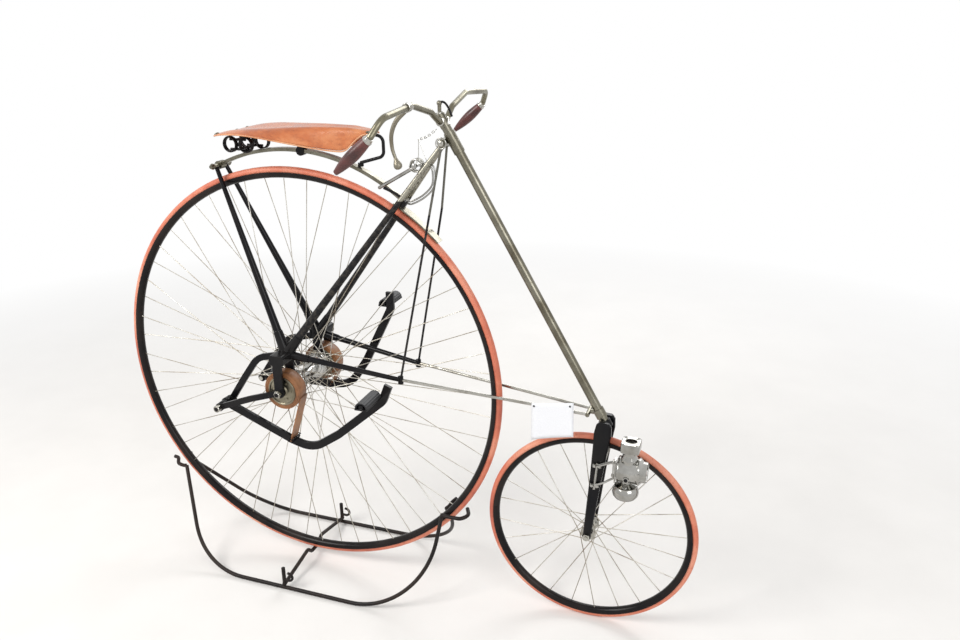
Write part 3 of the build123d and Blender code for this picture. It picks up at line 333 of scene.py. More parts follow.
LEVER_NICKEL = plated("lever_nickel", (0.27, 0.25, 0.2), (0.215, 0.195, 0.15), (0.14, 0.12, 0.085), 0.36,
                      0.52)
DRUM_NICKEL = plated("drum_nickel", (0.29, 0.265, 0.2), (0.21, 0.19, 0.14), (0.12, 0.1, 0.07), 0.3, 0.46)
PALE_LEATHER = leather("pale_leather", (0.62, 0.27, 0.12), (0.42, 0.15, 0.06), (0.74, 0.42, 0.24), 0.34,
                       900.0)
STRAP_LEATHER = leather("strap_leather", (0.27, 0.115, 0.045), (0.1, 0.042, 0.02), (0.38, 0.19, 0.085),
                        0.36, 700.0)
GRIP_WOOD = wooden("grip_maroon", (0.115, 0.03, 0.026), (0.045, 0.014, 0.013), 0.28)
# Pale white for the handles' nickel end buttons: a painted highlight
PAINTED_GLINT_TIP = card("painted_glint_tip")
# Pedal tread: black, grey on its top as dust and painted light from above
PEDAL_RUBBER = dusty_top_lit_rubber("pedal_rubber", (0.01, 0.01, 0.011), (0.095, 0.097, 0.1), 0.5)
STAND_STEEL = enamelled("stand_steel", (0.01, 0.008, 0.008), (0.034, 0.024, 0.02), 0.3, 0.5)
LAMP_GLASS = clear_glass("lamp_glass")
WHITE_CARD = card("white_card")

NODE_MATERIALS = {
    RED_RUBBER: ("rear_tyre", "front_tyre"),
    RIM_ENAMEL: ("rear_rim", "front_rim"),
    SPOKE_STEEL: ("rear_spokes", "front_spokes"),
    STAY_FINISH: ("main_stays",),
    THIN_STAY_FINISH: ("vertical_stays",),
    BRIGHT_NICKEL: ("rear_hub", "front_hub", "lamp", "rear_axle", "front_axle", "front_rods", "lamp_bracket",
                    "right_pivot_pin", "left_pivot_pin"),
    AGED_NICKEL: ("brake_spoon", "rod_clamp", "rear_crossbar", "stay_bridge", "brake_gear", "brake_hand_lever",
                  "backbone", "steering_column", "head_lug", "steering_stem"),
    BAR_NICKEL: ("handlebar",),
    BLACK_ENAMEL: ("left_side_yoke", "right_side_yoke", "rear_stays", "left_lever", "right_lever", "lower_arms",
                   "saddle_springs", "saddle_loop"),
    SOFT_ENAMEL: ("fork",),
    STRAP_LEATHER: ("left_drum", "right_drum", "left_strap", "right_strap"),
    TAN_LEATHER: ("saddle",),
    GRIP_WOOD: ("grips",),
    PEDAL_RUBBER: ("left_pedal", "right_pedal"),
    STAND_STEEL: ("stand_left_side", "stand_right_side", "stand_cross_rod"),
    LAMP_GLASS: ("lamp_lens",),
}
for material, names in NODE_MATERIALS.items():
    for name in names:
        nodes[name].data.materials.clear()
        nodes[name].data.materials.append(material)


# Mesh building: one builder gathers tubes, turned forms and sheets into one piece
def angles(steps):
    """Even steps of a whole turn."""
    return [2 * pi * step / steps for step in range(steps)]


class Form:
    def __init__(self):
        self.points = []
        self.faces = []

    def add(self, points, faces):
        base = len(self.points)
        self.points.extend(Vector(point) for point in points)
        self.faces.extend(tuple(base + index for index in face) for face in faces)
        return self

    def skin(self, rings, closed=False):
        """A skin through rings of the same number of points, capped at both ends or joined end to start."""
        around, count = len(rings[0]), len(rings)
        faces = []
        for index in range(count if closed else count - 1):
            following = (index + 1) % count
            for step in range(around):
                beside = (step + 1) % around
                faces.append((index * around + step, index * around + beside,
                              following * around + beside, following * around + step))
        if not closed:
            faces.append(tuple(reversed(range(around))))
            faces.append(tuple(range((count - 1) * around, count * around)))
        return self.add([point for ring in rings for point in ring], faces)

    def tube(self, path, radius, sides=12, closed=False):
        path = [Vector(point) for point in path]
        count = len(path)
        radii = radius if hasattr(radius, "__len__") else [radius] * count
        rings = []
        normal = None
        for index, centre in enumerate(path):
            before = path[index - 1] if index or closed else path[0]
            after = path[(index + 1) % count] if index < count - 1 or closed else path[-1]
            along = (after - before).normalized()
            if normal is None:
                normal = along.orthogonal().normalized()
            normal = (normal - along * normal.dot(along)).normalized()
            across = along.cross(normal)
            rings.append([centre + (normal * cos(turn) + across * sin(turn)) * radii[index]
                          for turn in angles(sides)])
        return self.skin(rings, closed)

    def turned(self, profile, centre, axis, steps=32):
        """A closed turned form. Each row of the profile is a radius and a distance along the axis."""
        centre, axis = Vector(centre), Vector(axis).normalized()
        across = axis.orthogonal().normalized()
        beside = axis.cross(across)
        return self.skin([[centre + axis * along + (across * cos(turn) + beside * sin(turn)) * radius
                           for turn in angles(steps)] for radius, along in profile])

    def sheet(self, rows):
        """An open sheet through rows of the same number of points."""
        wide = len(rows[0])
        lows = [row * wide + step for row in range(len(rows) - 1) for step in range(wide - 1)]
        faces = [(low, low + wide, low + wide + 1, low + 1) for low in lows]
        return self.add([point for row in rows for point in row], faces)

    def across(self, outline, centre, start, end):
        """A flat outline, ahead of a centre and above it, carried across the bicycle."""
        centre = Vector(centre)
        return self.skin([[Vector((centre.x + x, y, centre.z + z)) for x, z in outline] for y in (start, end)])

    def box(self, centre, size):
        centre, half = Vector(centre), Vector(size) / 2
        outline = [(-half.x, -half.z), (half.x, -half.z), (half.x, half.z), (-half.x, half.z)]
        return self.across(outline, centre, centre.y - half.y, centre.y + half.y)

    def collar(self, centre, axis, radius, height, inset, step=0.001, sides=28):
        """A ring whose two edges step in."""
        profile = [(radius - inset, 0), (radius, step), (radius, height - step), (radius - inset, height)]
        return self.turned(profile, centre, axis, sides)

    def bolt(self, centre, axis, radius, height, sides=6):
        chamfer = radius * 0.12
        return self.collar(centre, axis, radius, height, chamfer, chamfer, sides)

    def piece(self, name, body, material, smooth_angle, slot=None, node=None, bevel=None):
        """The gathered form as an object that rides on a body, or that stays loose if the body is None.

        The slot is not used. A node given is replaced by the piece.
        """
        mesh = bpy.data.meshes.new(name)
        mesh.from_pydata([tuple(point) for point in self.points], [], self.faces)
        mesh.materials.append(material)
        mesh.validate()
        shell = bmesh.new()
        shell.from_mesh(mesh)
        bmesh.ops.recalc_face_normals(shell, faces=shell.faces)
        shell.to_mesh(mesh)
        shell.free()
        made = placed(name, mesh)
        mesh.shade_smooth()
        mesh.set_sharp_from_angle(angle=radians(smooth_angle))
        if bevel:
            modifier = made.modifiers.new("edge", "BEVEL")
            modifier.width = bevel
            modifier.segments = 2
            modifier.limit_method = "ANGLE"
        if body:
            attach(made, body)
        if node:
            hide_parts(node)
        return made


def thicken(made, thickness, offset):
    solid = made.modifiers.new("thickness", "SOLIDIFY")
    solid.thickness = thickness
    solid.offset = offset


def curve_through(points, steps):
    """Points on a smooth curve through the given points, evenly stepped between each pair."""
    points = [Vector(point) for point in points]
    ends = [2 * points[0] - points[1], *points, 2 * points[-1] - points[-2]]
    made = []
    for index in range(1, len(ends) - 2):
        before, start, end, after = ends[index - 1:index + 3]
        for step in range(steps):
            t = step / steps
            made.append(0.5 * (2 * start + (end - before) * t + (2 * before - 5 * start + 4 * end - after) * t**2
                               + (3 * start - before - 3 * end + after) * t**3))
    made.append(points[-1])
    return made


def circle(centre, radius, steps):
    """Points round a centre, in the bicycle's own plane."""
    return [centre + Vector((cos(turn), 0, sin(turn))) * radius for turn in angles(steps)]


def smooth_profile(rows, steps):
    return [(point.x, point.y) for point in curve_through([(*row, 0) for row in rows], steps)]


def mirrored(half, width):
    """A profile and its mirror image at the far face of a width."""
    return [*half, *((radius, width - along) for radius, along in reversed(half))]


# Saddle: one sheet of moulded leather slung from its rear edge to its nose
# Each row is ahead of the rear axle, the middle's height, the crest's distance out and height, and the edge's
SADDLE_ROWS = (
    (-0.1920, 0.722, 0.030, 0.7220, 0.052, 0.7205),
    (-0.1650, 0.727, 0.055, 0.7300, 0.084, 0.7270),
    (-0.1200, 0.733, 0.070, 0.7400, 0.106, 0.7340),
    (-0.0600, 0.739, 0.074, 0.7460, 0.114, 0.7350),
    (0.0000, 0.744, 0.068, 0.7480, 0.105, 0.7270),
    (0.0600, 0.747, 0.056, 0.7495, 0.088, 0.7150),
    (0.1200, 0.749, 0.045, 0.7500, 0.069, 0.7030),
    (0.1800, 0.749, 0.036, 0.7490, 0.053, 0.6945),
    (0.2100, 0.749, 0.032, 0.7485, 0.044, 0.6960),
    (0.2350, 0.748, 0.028, 0.7470, 0.036, 0.7200),
    (0.2580, 0.747, 0.023, 0.7450, 0.028, 0.7370),
    (0.2810, 0.743, 0.012, 0.7420, 0.020, 0.7370),
)
SADDLE_THICK = 0.0042
SADDLE_STEPS = 4
WELT_RADIUS = 0.0021
RIVET = ((0.006, -0.001), (0.006, 0.0006), (0.0048, 0.002), (0.002, 0.003), (0.0005, 0.0032))
RIVET_ROWS = (1, 4, -3)
RIVET_COLUMNS = (2, -3)


def add_saddle():
    sections = []
    for ahead, middle, crest_out, crest, edge_out, edge in SADDLE_ROWS:
        half = [(edge_out, edge), (crest_out, crest)]
        line = half + [(0, middle)] + [(-out, height) for out, height in reversed(half)]
        sections.append(curve_through([from_rear(ahead, out, height) for out, height in line], SADDLE_STEPS))
    lines = [curve_through(line, SADDLE_STEPS) for line in zip(*sections)]
    rows = list(zip(*lines))
    saddle = Form().sheet(rows).piece("saddle_leather", "frame", TAN_LEATHER, 60, node="saddle")
    thicken(saddle, SADDLE_THICK, -1 if saddle.data.polygons[0].normal.z > 0 else 1)
    smooth = saddle.modifiers.new("smooth", "SUBSURF")
    smooth.levels = smooth.render_levels = 1
    edge = [*rows[0], *lines[-1][1:], *reversed(rows[-1][:-1]), *reversed(lines[0][1:-1])]
    sunk = Vector((0, 0, -SADDLE_THICK / 2))
    welt = Form().tube([point + sunk for point in edge], WELT_RADIUS, 8, closed=True)
    welt.piece("saddle_edge", "frame", PALE_LEATHER, 60, slot="tan_leather")
    rivets = Form()
    for row in RIVET_ROWS:
        for column in RIVET_COLUMNS:
            rivets.turned(RIVET, rows[row][column], UP, 20)
    rivets.piece("saddle_rivets", "frame", BAR_NICKEL, 30, slot="aged_nickel")


add_saddle()


# Coil springs under the saddle's rear: wire helices across the bicycle, between two rails and two cross wires
SPRING_PLACES = (-0.15, -0.099)
SPRING_OUT = 0.04
SPRING_HEIGHT = 0.6966
SPRING_RADIUS = 0.0205
SPRING_WIRE = 0.0025
SPRING_TURNS = 3
SPRING_RISE = 0.0134
SPRING_WIDTH = 0.0135
RAIL_RADIUS = 0.0036
CROSS_RADIUS = 0.0042
POST_FOOT = ((0.0085, 0), (0.01, 0.0015))
POST_SHARES = ((0.01, 0.3), (0.0075, 0.4), (0.0075, 0.7), (0.0095, 0.8), (0.0095, 1.0))
WIRE_SIDES = 10


def helix(centre, radius, width, turns, start, side=1, steps=28):
    """Points round an axis across the bicycle. The turns start at an angle above forward."""
    made = []
    for step in range(int(turns * steps) + 1):
        turn = start + 2 * pi * step / steps
        out = side * width * (step / (turns * steps) - 0.5)
        made.append(centre + Vector((radius * cos(turn), out, radius * sin(turn))))
    return made


def add_saddle_springs():
    springs, rails = Form(), Form()
    middle = sum(SPRING_PLACES) / 2
    heights = (SPRING_HEIGHT - SPRING_RISE, SPRING_HEIGHT + SPRING_RISE)
    for side in (-1, 1):
        for ahead in SPRING_PLACES:
            centre = from_rear(ahead, side * SPRING_OUT, SPRING_HEIGHT)
            springs.tube(helix(centre, SPRING_RADIUS, SPRING_WIDTH, SPRING_TURNS, pi / 2, side), SPRING_WIRE,
                         WIRE_SIDES)
        for height in heights:
            rails.tube([from_rear(ahead, side * SPRING_OUT, height) for ahead in SPRING_PLACES], RAIL_RADIUS,
                       WIRE_SIDES)
    for height in heights:
        cross = [from_rear(middle, out, height) for out in (-SPRING_OUT, SPRING_OUT)]
        rails.tube(cross, CROSS_RADIUS, WIRE_SIDES)
    low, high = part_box("saddle_springs")
    for start, end in ((low.z - REAR.z, heights[0]), (heights[1], high.z - REAR.z)):
        post = [*POST_FOOT, *((radius, share * (end - start)) for radius, share in POST_SHARES)]
        rails.turned(post, from_rear(middle, 0, start), UP, 24)
    springs.piece("saddle_coils", "frame", BLACK_ENAMEL, 50, node="saddle_springs")
    rails.piece("saddle_spring_frame", "frame", BLACK_ENAMEL, 40, node="saddle_springs")


add_saddle_springs()


# Handles: a spindle of turned wood with a plated ferrule and a nickel end button on each side, coloured pale
# white as a painted highlight
HEAD_BAR = COLUMN_FOOT + COLUMN_UP * 0.9063
GRIP_START = (-0.0294, 0.376, -0.0006)
GRIP_END = (-0.115, 0.376, -0.077)
GRIP_SHARES = ((0.0, 0.0105), (0.05, 0.0118), (0.2, 0.0138), (0.4, 0.015), (0.6, 0.0138), (0.8, 0.0108),
               (0.93, 0.008), (1.0, 0.0062))
FERRULE = ((0.009, -0.012), (0.0102, -0.0115), (0.0104, -0.005), (0.0122, -0.004), (0.0122, -0.0005),
           (0.0112, 0.0004))
TIP_BUTTON = ((0.0062, 0.0), (0.0066, 0.001), (0.006, 0.0035), (0.0036, 0.005), (0.0006, 0.0055))


def beside_head(offset, side):
    return HEAD_BAR + Vector((offset[0], side * offset[1], offset[2]))


def add_grips():
    wood, plate, tips = Form(), Form(), Form()
    for side in (-1, 1):
        start, end = beside_head(GRIP_START, side), beside_head(GRIP_END, side)
        way = (end - start).normalized()
        length = (end - start).length - TIP_BUTTON[-1][1]
        spindle = smooth_profile([(radius, share * length) for share, radius in GRIP_SHARES], 4)
        wood.turned(spindle, start, way, 32)
        plate.turned(FERRULE, start, way, 32)
        tips.turned(TIP_BUTTON, start + way * length, way, 24)
    wood.piece("handles", "steering", GRIP_WOOD, 40, node="grips")
    plate.piece("handle_ferrules", "steering", BRIGHT_NICKEL, 30)
    # the nickel end buttons take pale white: a painted highlight
    tips.piece("handle_tips", "steering", PAINTED_GLINT_TIP, 30, slot="bright_nickel")


add_grips()


# Pedals: a half-round rubber tread on a plate, open at both ends, on each lever's spindle
PEDAL_AT = (0.512, 0.1)
PEDAL_IN = 0.1173
PEDAL_LENGTH = 0.092
PEDAL_RADIUS = 0.019
PEDAL_WALL = 0.0045
PEDAL_STEPS = 48
PEDAL_GROOVES = 7
GROOVE_DEPTH = 0.0011
PLATE_TOP = -0.0004
PLATE_CHAMFER = 0.0015
TREAD_SHORT = 0.0015
TREAD_EDGE = 0.0006
SPINDLE_ABOVE = 0.0052
SPINDLE_RADIUS = 0.005
SPINDLE_SHORT = 0.004
PEDAL_NUT_SHORT = 0.0055
PEDAL_NUT = (0.0078, 0.0045)
LEFT_RAISED = radians(22.0)
LEVERS = (("right", -1, 0.0), ("left", 1, LEFT_RAISED))


def turned_up(point, angle):
    return (point[0] * cos(angle) - point[1] * sin(angle), point[0] * sin(angle) + point[1] * cos(angle))


def add_pedals():
    wall, chamfer = PEDAL_RADIUS - PEDAL_WALL, PEDAL_RADIUS - PLATE_CHAMFER
    outer, inner = [], []
    for step in range(PEDAL_STEPS + 1):
        turn = pi * step / PEDAL_STEPS
        crest = PEDAL_RADIUS - GROOVE_DEPTH * max(0.0, -cos(2 * turn * PEDAL_GROOVES)) ** 2
        outer.append((crest * cos(turn), crest * sin(turn)))
        inner.append((wall * cos(turn), wall * sin(turn)))
    side_foot = PLATE_CHAMFER - PEDAL_WALL
    plate = [(PEDAL_RADIUS, PLATE_TOP), (-PEDAL_RADIUS, PLATE_TOP), (-PEDAL_RADIUS, side_foot),
             (-chamfer, -PEDAL_WALL), (chamfer, -PEDAL_WALL), (PEDAL_RADIUS, side_foot)]
    for name, side, raised in LEVERS:
        ahead, above = turned_up(PEDAL_AT, raised)
        centre = Vector((PIVOT.x + ahead, 0, PIVOT.z + above))
        near, far = side * PEDAL_IN, side * (PEDAL_IN + PEDAL_LENGTH)
        tread = Form().across(outer + inner[::-1], centre, near + side * TREAD_SHORT, far - side * TREAD_SHORT)
        metal = Form().across(plate, centre, near, far)
        middle = centre + UP * SPINDLE_ABOVE
        metal.tube([middle + ACROSS * near, middle + ACROSS * (far - side * SPINDLE_SHORT)], SPINDLE_RADIUS, 20)
        metal.bolt(middle + ACROSS * (far - side * PEDAL_NUT_SHORT), ACROSS * side, *PEDAL_NUT)
        lever, node = f"{name}_lever", f"{name}_pedal"
        tread.piece(f"{name}_pedal_rubber", lever, PEDAL_RUBBER, 30, node=node, bevel=TREAD_EDGE)
        metal.piece(f"{name}_pedal_plate", lever, BLACK_ENAMEL, 30, node=node)


add_pedals()


# Rear hub: a bright polished dome behind each flange
HUB_PROFILE = ((0.019, 0.0), (0.019, 0.036), (0.0205, 0.0395), (0.027, 0.0425), (0.033, 0.048),
               (0.037, 0.055), (0.0395, 0.063), (0.04, 0.069))
HUB_FACE = ((0.04, 0.0712), (0.0392, 0.072), (0.024, 0.072), (0.0228, 0.0708), (0.016, 0.0708),
            (0.015, 0.072), (0.0082, 0.072))


def add_rear_hub():
    body = Form()
    for side in (-1, 1):
        body.turned([*smooth_profile(HUB_PROFILE, 3), *HUB_FACE], REAR, ACROSS * side, 72)
    body.piece("rear_hub_domes", "rear_wheel", HUB_NICKEL, 40, slot="bright_nickel", node="rear_hub")


add_rear_hub()


# Drums: a plated core in three turns of strap, whose edges show as rings
DRUM_IN = 0.0915
DRUM_OUT = 0.1375
CORE_RADIUS = 0.0445
STRAP_TURNS = 3
STRAP_STEP = 0.0045
TURN_EDGE = ((0.0003, 0.0052), (0.0009, 0.0032), (STRAP_STEP - 0.0007, 0.0032))
CORE_HALF = ((0.0088, 0.0), (0.015, 0.0), (0.016, 0.001), (0.016, 0.003), (0.017, 0.004),
             (0.0385, 0.004), (0.0395, 0.003), (0.0395, 0.0012), (0.0405, 0.0004), (0.0435, 0.0004),
             (CORE_RADIUS, 0.0014))
CORE_BOLTS = 6
CORE_BOLT_RADIUS = 0.0275
CORE_BOLT_SUNK = 0.0045
CORE_BOLT = (0.0036, 0.003)


def add_drums():
    width = DRUM_OUT - DRUM_IN
    edge = [(CORE_RADIUS - 0.002, 0.005)]
    for turn in range(STRAP_TURNS):
        edge += [(CORE_RADIUS + turn * STRAP_STEP + rise, depth) for rise, depth in TURN_EDGE]
    edge.append((edge[-1][0] + 0.0006, 0.004))
    for name, side in SIDES:
        foot, outward = REAR + ACROSS * (side * DRUM_IN), ACROSS * side
        strap = Form().turned(mirrored(edge, width), foot, outward, 72)
        core = Form().turned(mirrored(CORE_HALF, width), foot, outward, 72)
        for place in circle(foot + outward * (width - CORE_BOLT_SUNK), CORE_BOLT_RADIUS, CORE_BOLTS):
            core.bolt(place, outward, *CORE_BOLT, 12)
        drum = f"{name}_drum"
        strap.piece(f"{name}_wound_strap", drum, STRAP_LEATHER, 40, node=drum)
        core.piece(f"{name}_drum_core", drum, DRUM_NICKEL, 30, slot="aged_nickel", node=drum)


add_drums()


# Straps: each leaves its drum at a tangent and ends on its lever, where a buckle holds it
STRAP_HOLD = (0.2258, -0.09)
STRAP_HALF = 0.019
STRAP_THICK = 0.0036
STRAP_RADIUS = 0.0599
STRAP_ROWS = 24
LEVER_LINE = 0.112
BUCKLE_RISES = (0.003, 0.012)
BUCKLE_REACH = STRAP_HALF + 0.0045
BUCKLE_DEEP = 0.0055
BUCKLE_SHIFT = 0.0005
BUCKLE_WIRE = 0.0021


def strap_hold(side, raised):
    ahead, above = turned_up(STRAP_HOLD, raised)
    return Vector((PIVOT.x + ahead, side * LEVER_LINE, PIVOT.z + above))


def add_straps():
    """Each strap stretches between the drum and the lever, as if it were paid out."""
    for name, side, raised in LEVERS:
        hold = strap_hold(side, raised)
        middle_of_drum = Vector((REAR.x, hold.y, REAR.z))
        away = hold - middle_of_drum
        turn = atan2(away.z, away.x) + acos(STRAP_RADIUS / away.length)
        out = Vector((cos(turn), 0, sin(turn)))
        top = middle_of_drum + out * STRAP_RADIUS
        over = ACROSS * STRAP_HALF
        out *= STRAP_THICK / 2
        rings = []
        for row in range(STRAP_ROWS + 1):
            middle = top.lerp(hold, row / STRAP_ROWS)
            rings.append([middle + out + over, middle + out - over, middle - out - over, middle - out + over])
        strap = Form().skin(rings).piece(f"{name}_hanging_strap", None, STRAP_LEATHER, 30, node=f"{name}_strap")
        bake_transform(strap)


add_straps()


def add_buckles():
    for name, side, raised in LEVERS:
        hold = strap_hold(side, raised)
        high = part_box(f"{name}_strap")[1]
        up = Vector((high.x - hold.x, 0, high.z - hold.z)).normalized()
        out = Vector((up.z, 0, -up.x))
        form = Form()
        for rise in BUCKLE_RISES:
            middle = hold + up * rise + out * BUCKLE_SHIFT
            loop = [middle + ACROSS * (BUCKLE_REACH * sign) + out * (BUCKLE_DEEP * deep)
                    for sign, deep in ((-1, -1), (1, -1), (1, 1), (-1, 1))]
            form.tube(loop, BUCKLE_WIRE, 10, closed=True)
        form.piece(f"{name}_strap_buckle", f"{name}_lever", BLACK_ENAMEL, 50)


add_buckles()


# Round nuts at the axle's and the pivots' ends, each a pale ring about a dark end
RING_NUTS = ((REAR, 0.1516, 0.0092), (PIVOT, 0.152, 0.0106))
RING_BORE = ((0.007, 0.0148), (0.0066, 0.014))
NUT_END = ((0.0062, 0.0138), (0.006, 0.0152), (0.0048, 0.016), (0.001, 0.0162))


def add_ring_nuts():
    for name, side in SIDES:
        rings, ends = Form(), Form()
        for centre, foot, radius in RING_NUTS:
            base = Vector((centre.x, side * foot, centre.z))
            outside = ((radius - 0.0008, 0.0), (radius, 0.0008), (radius, 0.0132), (radius - 0.0012, 0.0146))
            rings.turned([*outside, *RING_BORE], base, ACROSS * side, 36)
            ends.turned(NUT_END, base, ACROSS * side, 24)
        rings.piece(f"{name}_ring_nuts", "frame", BRIGHT_NICKEL, 30)
        ends.piece(f"{name}_nut_ends", "frame", BLACK_ENAMEL, 30)


add_ring_nuts()


# Brake: a bright coil behind the head, its round arm beside the backbone, its curved strips and its small chain
BRAKE_COIL_AT = (0.3972, 0.6571)
BRAKE_COIL_RADIUS = 0.016
BRAKE_COIL_WIDTH = 0.024
BRAKE_COIL_TURNS = 5
BRAKE_COIL_WIRE = 0.0022
BRAKE_PIN = 0.0175
PIN_RADIUS = 0.0055
PIN_HEAD = (0.008, 0.0045)
BRAKE_ARM = ((0.4, 0.656), (0.292, 0.5943), (0.2895, 0.5929))
BRAKE_ARM_RADII = (0.005, 0.005, 0.0028)
BRAKE_ARM_OUT = -0.017
SICKLE_LINE = ((0.415, 0.66), (0.44, 0.656), (0.4455, 0.63), (0.44, 0.601), (0.4133, 0.574),
               (0.38, 0.556), (0.364, 0.556))
SICKLE_APART = 0.0036
SICKLE_RADIUS = 0.0026
CHAIN_FROM = (0.4588, 0.7544)
CHAIN_TO = (0.4089, 0.7272)
CHAIN_WAY = Vector((0.88, 0, 0.48))
CHAIN_OUT = -0.01
CHAIN_SAG = 0.006
CHAIN_LINKS = 9
LINK_LONG = 0.0044
LINK_WIDE = 0.0026
LINK_WIRE = 0.0009
LINK_STEPS = 12
WIRE_BENDS = ((0.4072, 0.6832), (0.43, 0.67))
BENT_WIRE = 0.0011
BOSS_AT = (0.4777, 0.7205)
BOSS_OUT = 0.0265
BOSS_RADIUS = 0.014
BOSS_WIRE = 0.0018
BOSS_SUNK = 0.002
BOSS_HEAD = (0.0085, 0.006)
HANGER_LINE = ((0.3616, 0.5569), (0.352, 0.576), (0.324, 0.59), (0.308, 0.596))
HANGER_OUT = -0.022
HANGER_RADIUS = 0.0042
CLAMPS = (((0.3616, -0.028, 0.5569), 0.011, 0.012, 0.001), ((0.0522, -0.011, 0.6815), 0.0136, 0.022, 0.0008))


def in_plane(points, out):
    return [from_rear(ahead, out, above) for ahead, above in points]


def add_brake():
    wire, arms, dark = Form(), Form(), Form()
    centre = from_rear(BRAKE_COIL_AT[0], 0, BRAKE_COIL_AT[1])
    coil = helix(centre, BRAKE_COIL_RADIUS, BRAKE_COIL_WIDTH, BRAKE_COIL_TURNS, pi)
    wire.tube(coil, BRAKE_COIL_WIRE, WIRE_SIDES)
    pin = ACROSS * BRAKE_PIN
    arms.tube([centre - pin, centre + pin], PIN_RADIUS, 20)
    for side in (-1, 1):
        arms.bolt(centre + pin * side, ACROSS * side, *PIN_HEAD)
    arms.tube(in_plane(BRAKE_ARM, BRAKE_ARM_OUT), BRAKE_ARM_RADII, 16)
    line = curve_through(in_plane(SICKLE_LINE, 0), 6)
    for shift in (-SICKLE_APART, SICKLE_APART):
        moved = []
        for index, point in enumerate(line):
            along = (line[min(index + 1, len(line) - 1)] - line[max(index - 1, 0)]).normalized()
            moved.append(point + Vector((along.z, 0, -along.x)) * shift)
        arms.tube(moved, SICKLE_RADIUS, 10)
    for link in range(CHAIN_LINKS):
        share = (link + 0.5) / CHAIN_LINKS
        ahead, above = (start + (end - start) * share for start, end in zip(CHAIN_FROM, CHAIN_TO))
        middle = from_rear(ahead, CHAIN_OUT, above - CHAIN_SAG * 4 * share * (1 - share))
        turn = Matrix.Rotation(radians(90) if link % 2 else 0, 3, CHAIN_WAY)
        ring = [CHAIN_WAY * LINK_LONG * cos(angle) + ACROSS * LINK_WIDE * sin(angle)
                for angle in angles(LINK_STEPS)]
        wire.tube([middle + turn @ point for point in ring], LINK_WIRE, 6, closed=True)
    for bend in WIRE_BENDS:
        wire.tube(in_plane((CHAIN_TO, bend, BRAKE_COIL_AT), CHAIN_OUT), BENT_WIRE, 6)
    for side in (-1, 1):
        boss = from_rear(BOSS_AT[0], side * BOSS_OUT, BOSS_AT[1])
        wire.tube(circle(boss, BOSS_RADIUS, 32), BOSS_WIRE, 8, closed=True)
        wire.bolt(boss - ACROSS * (side * BOSS_SUNK), ACROSS * side, *BOSS_HEAD)
    dark.tube(curve_through(in_plane(HANGER_LINE, HANGER_OUT), 5), HANGER_RADIUS, 12)
    for place, radius, height, inset in CLAMPS:
        dark.collar(from_rear(*place), ACROSS, radius, height, inset)
    wire.piece("brake_coil", "frame", BRIGHT_NICKEL, 50, node="brake_gear")
    arms.piece("brake_arms", "frame", LAMP_NICKEL, 50, slot="aged_nickel", node="brake_gear")
    dark.piece("brake_clamps", "frame", BLACK_ENAMEL, 40)


add_brake()


# Head: small bright clamps and nuts about the stem, with a dark lever on the post
STEM_COLLAR_OUT = 0.0145
STEM_COLLAR = (0.0112, 0.008, 0.0012)
STEM_WAY = Vector((0.867, 0, 0.498))
STEM_BOLTS = (((0.012, -0.004, -0.006), 1, 0.006, 0.008), ((-0.0135, 0.0, 0.006), -1, 0.005, 0.006))
POST_NUT_AT = 0.9233
POST_NUT = ((0.0125, 0.0), (0.0132, 0.001), (0.0132, 0.004), (0.0085, 0.006), (0.007, 0.0085),
            (0.0052, 0.009))
POST_HEIGHT = 0.033
POST_LEVER = ((0, 0), (0.014, -0.001), (0.026, -0.016), (0.034, -0.036))
POST_LEVER_RADIUS = 0.003


def add_head_fittings():
    bright, dark = Form(), Form()
    for side in (-1, 1):
        bright.collar(HEAD_BAR + ACROSS * (side * STEM_COLLAR_OUT), ACROSS * side, *STEM_COLLAR)
    for place, sign, radius, height in STEM_BOLTS:
        bright.bolt(HEAD_BAR + Vector(place), STEM_WAY * sign, radius, height)
    top = COLUMN_FOOT + COLUMN_UP * POST_NUT_AT
    bright.turned(POST_NUT, top, COLUMN_UP, 28)
    post = top + UP * POST_HEIGHT
    lever = [post + Vector((ahead, 0, above)) for ahead, above in POST_LEVER]
    dark.tube(curve_through(lever, 6), POST_LEVER_RADIUS, 10)
    bright.piece("head_fittings", "steering", BRIGHT_NICKEL, 30)
    dark.piece("head_lever", "steering", BLACK_ENAMEL, 50)


add_head_fittings()


# Brake hand lever: a dull tapered bar under the right side, with a pear-shaped bulb
BAR_INNER = (-0.003, 0.185, 0.057)
BAR_OUTER = (-0.002, 0.352, 0.046)
LEVER_OUT = 0.213
LEVER_PATH = ((-0.004, -0.006), (-0.03, -0.032), (-0.043, -0.062), (-0.043, -0.094), (-0.035, -0.12))
LEVER_THICK = 0.0062
LEVER_TAPER = 0.0022
LEVER_BULB = ((0.004, -0.002), (0.0062, 0.004), (0.0094, 0.011), (0.0105, 0.016), (0.0096, 0.021),
              (0.0062, 0.0245), (0.0015, 0.0258))
LEVER_SCREW_AT = (0.0105, 0, 0.002)
LEVER_SCREW = (0.0052, 0.005)
CLAMP_BACK = 0.0075
HAND_CLAMP = (0.0112, 0.015, 0.0014)


def add_hand_lever():
    form, bright = Form(), Form()
    inner, outer = beside_head(BAR_INNER, -1), beside_head(BAR_OUTER, -1)
    hold = inner.lerp(outer, (LEVER_OUT - BAR_INNER[1]) / (BAR_OUTER[1] - BAR_INNER[1]))
    line = curve_through([hold + Vector((ahead, 0, above)) for ahead, above in LEVER_PATH], 8)
    count = len(line) - 1
    form.tube(line, [LEVER_THICK - LEVER_TAPER * index / count for index in range(count + 1)], 14)
    form.turned(LEVER_BULB, line[-1], line[-1] - line[-2], 28)
    run = (outer - inner).normalized()
    bright.collar(hold - run * CLAMP_BACK, run, *HAND_CLAMP)
    bright.bolt(hold + Vector(LEVER_SCREW_AT), (1, 0, 0.2), *LEVER_SCREW)
    form.piece("brake_lever_bar", "steering", LEVER_NICKEL, 40, slot="aged_nickel", node="brake_hand_lever")
    bright.piece("brake_lever_clamp", "steering", BRIGHT_NICKEL, 30)


add_hand_lever()


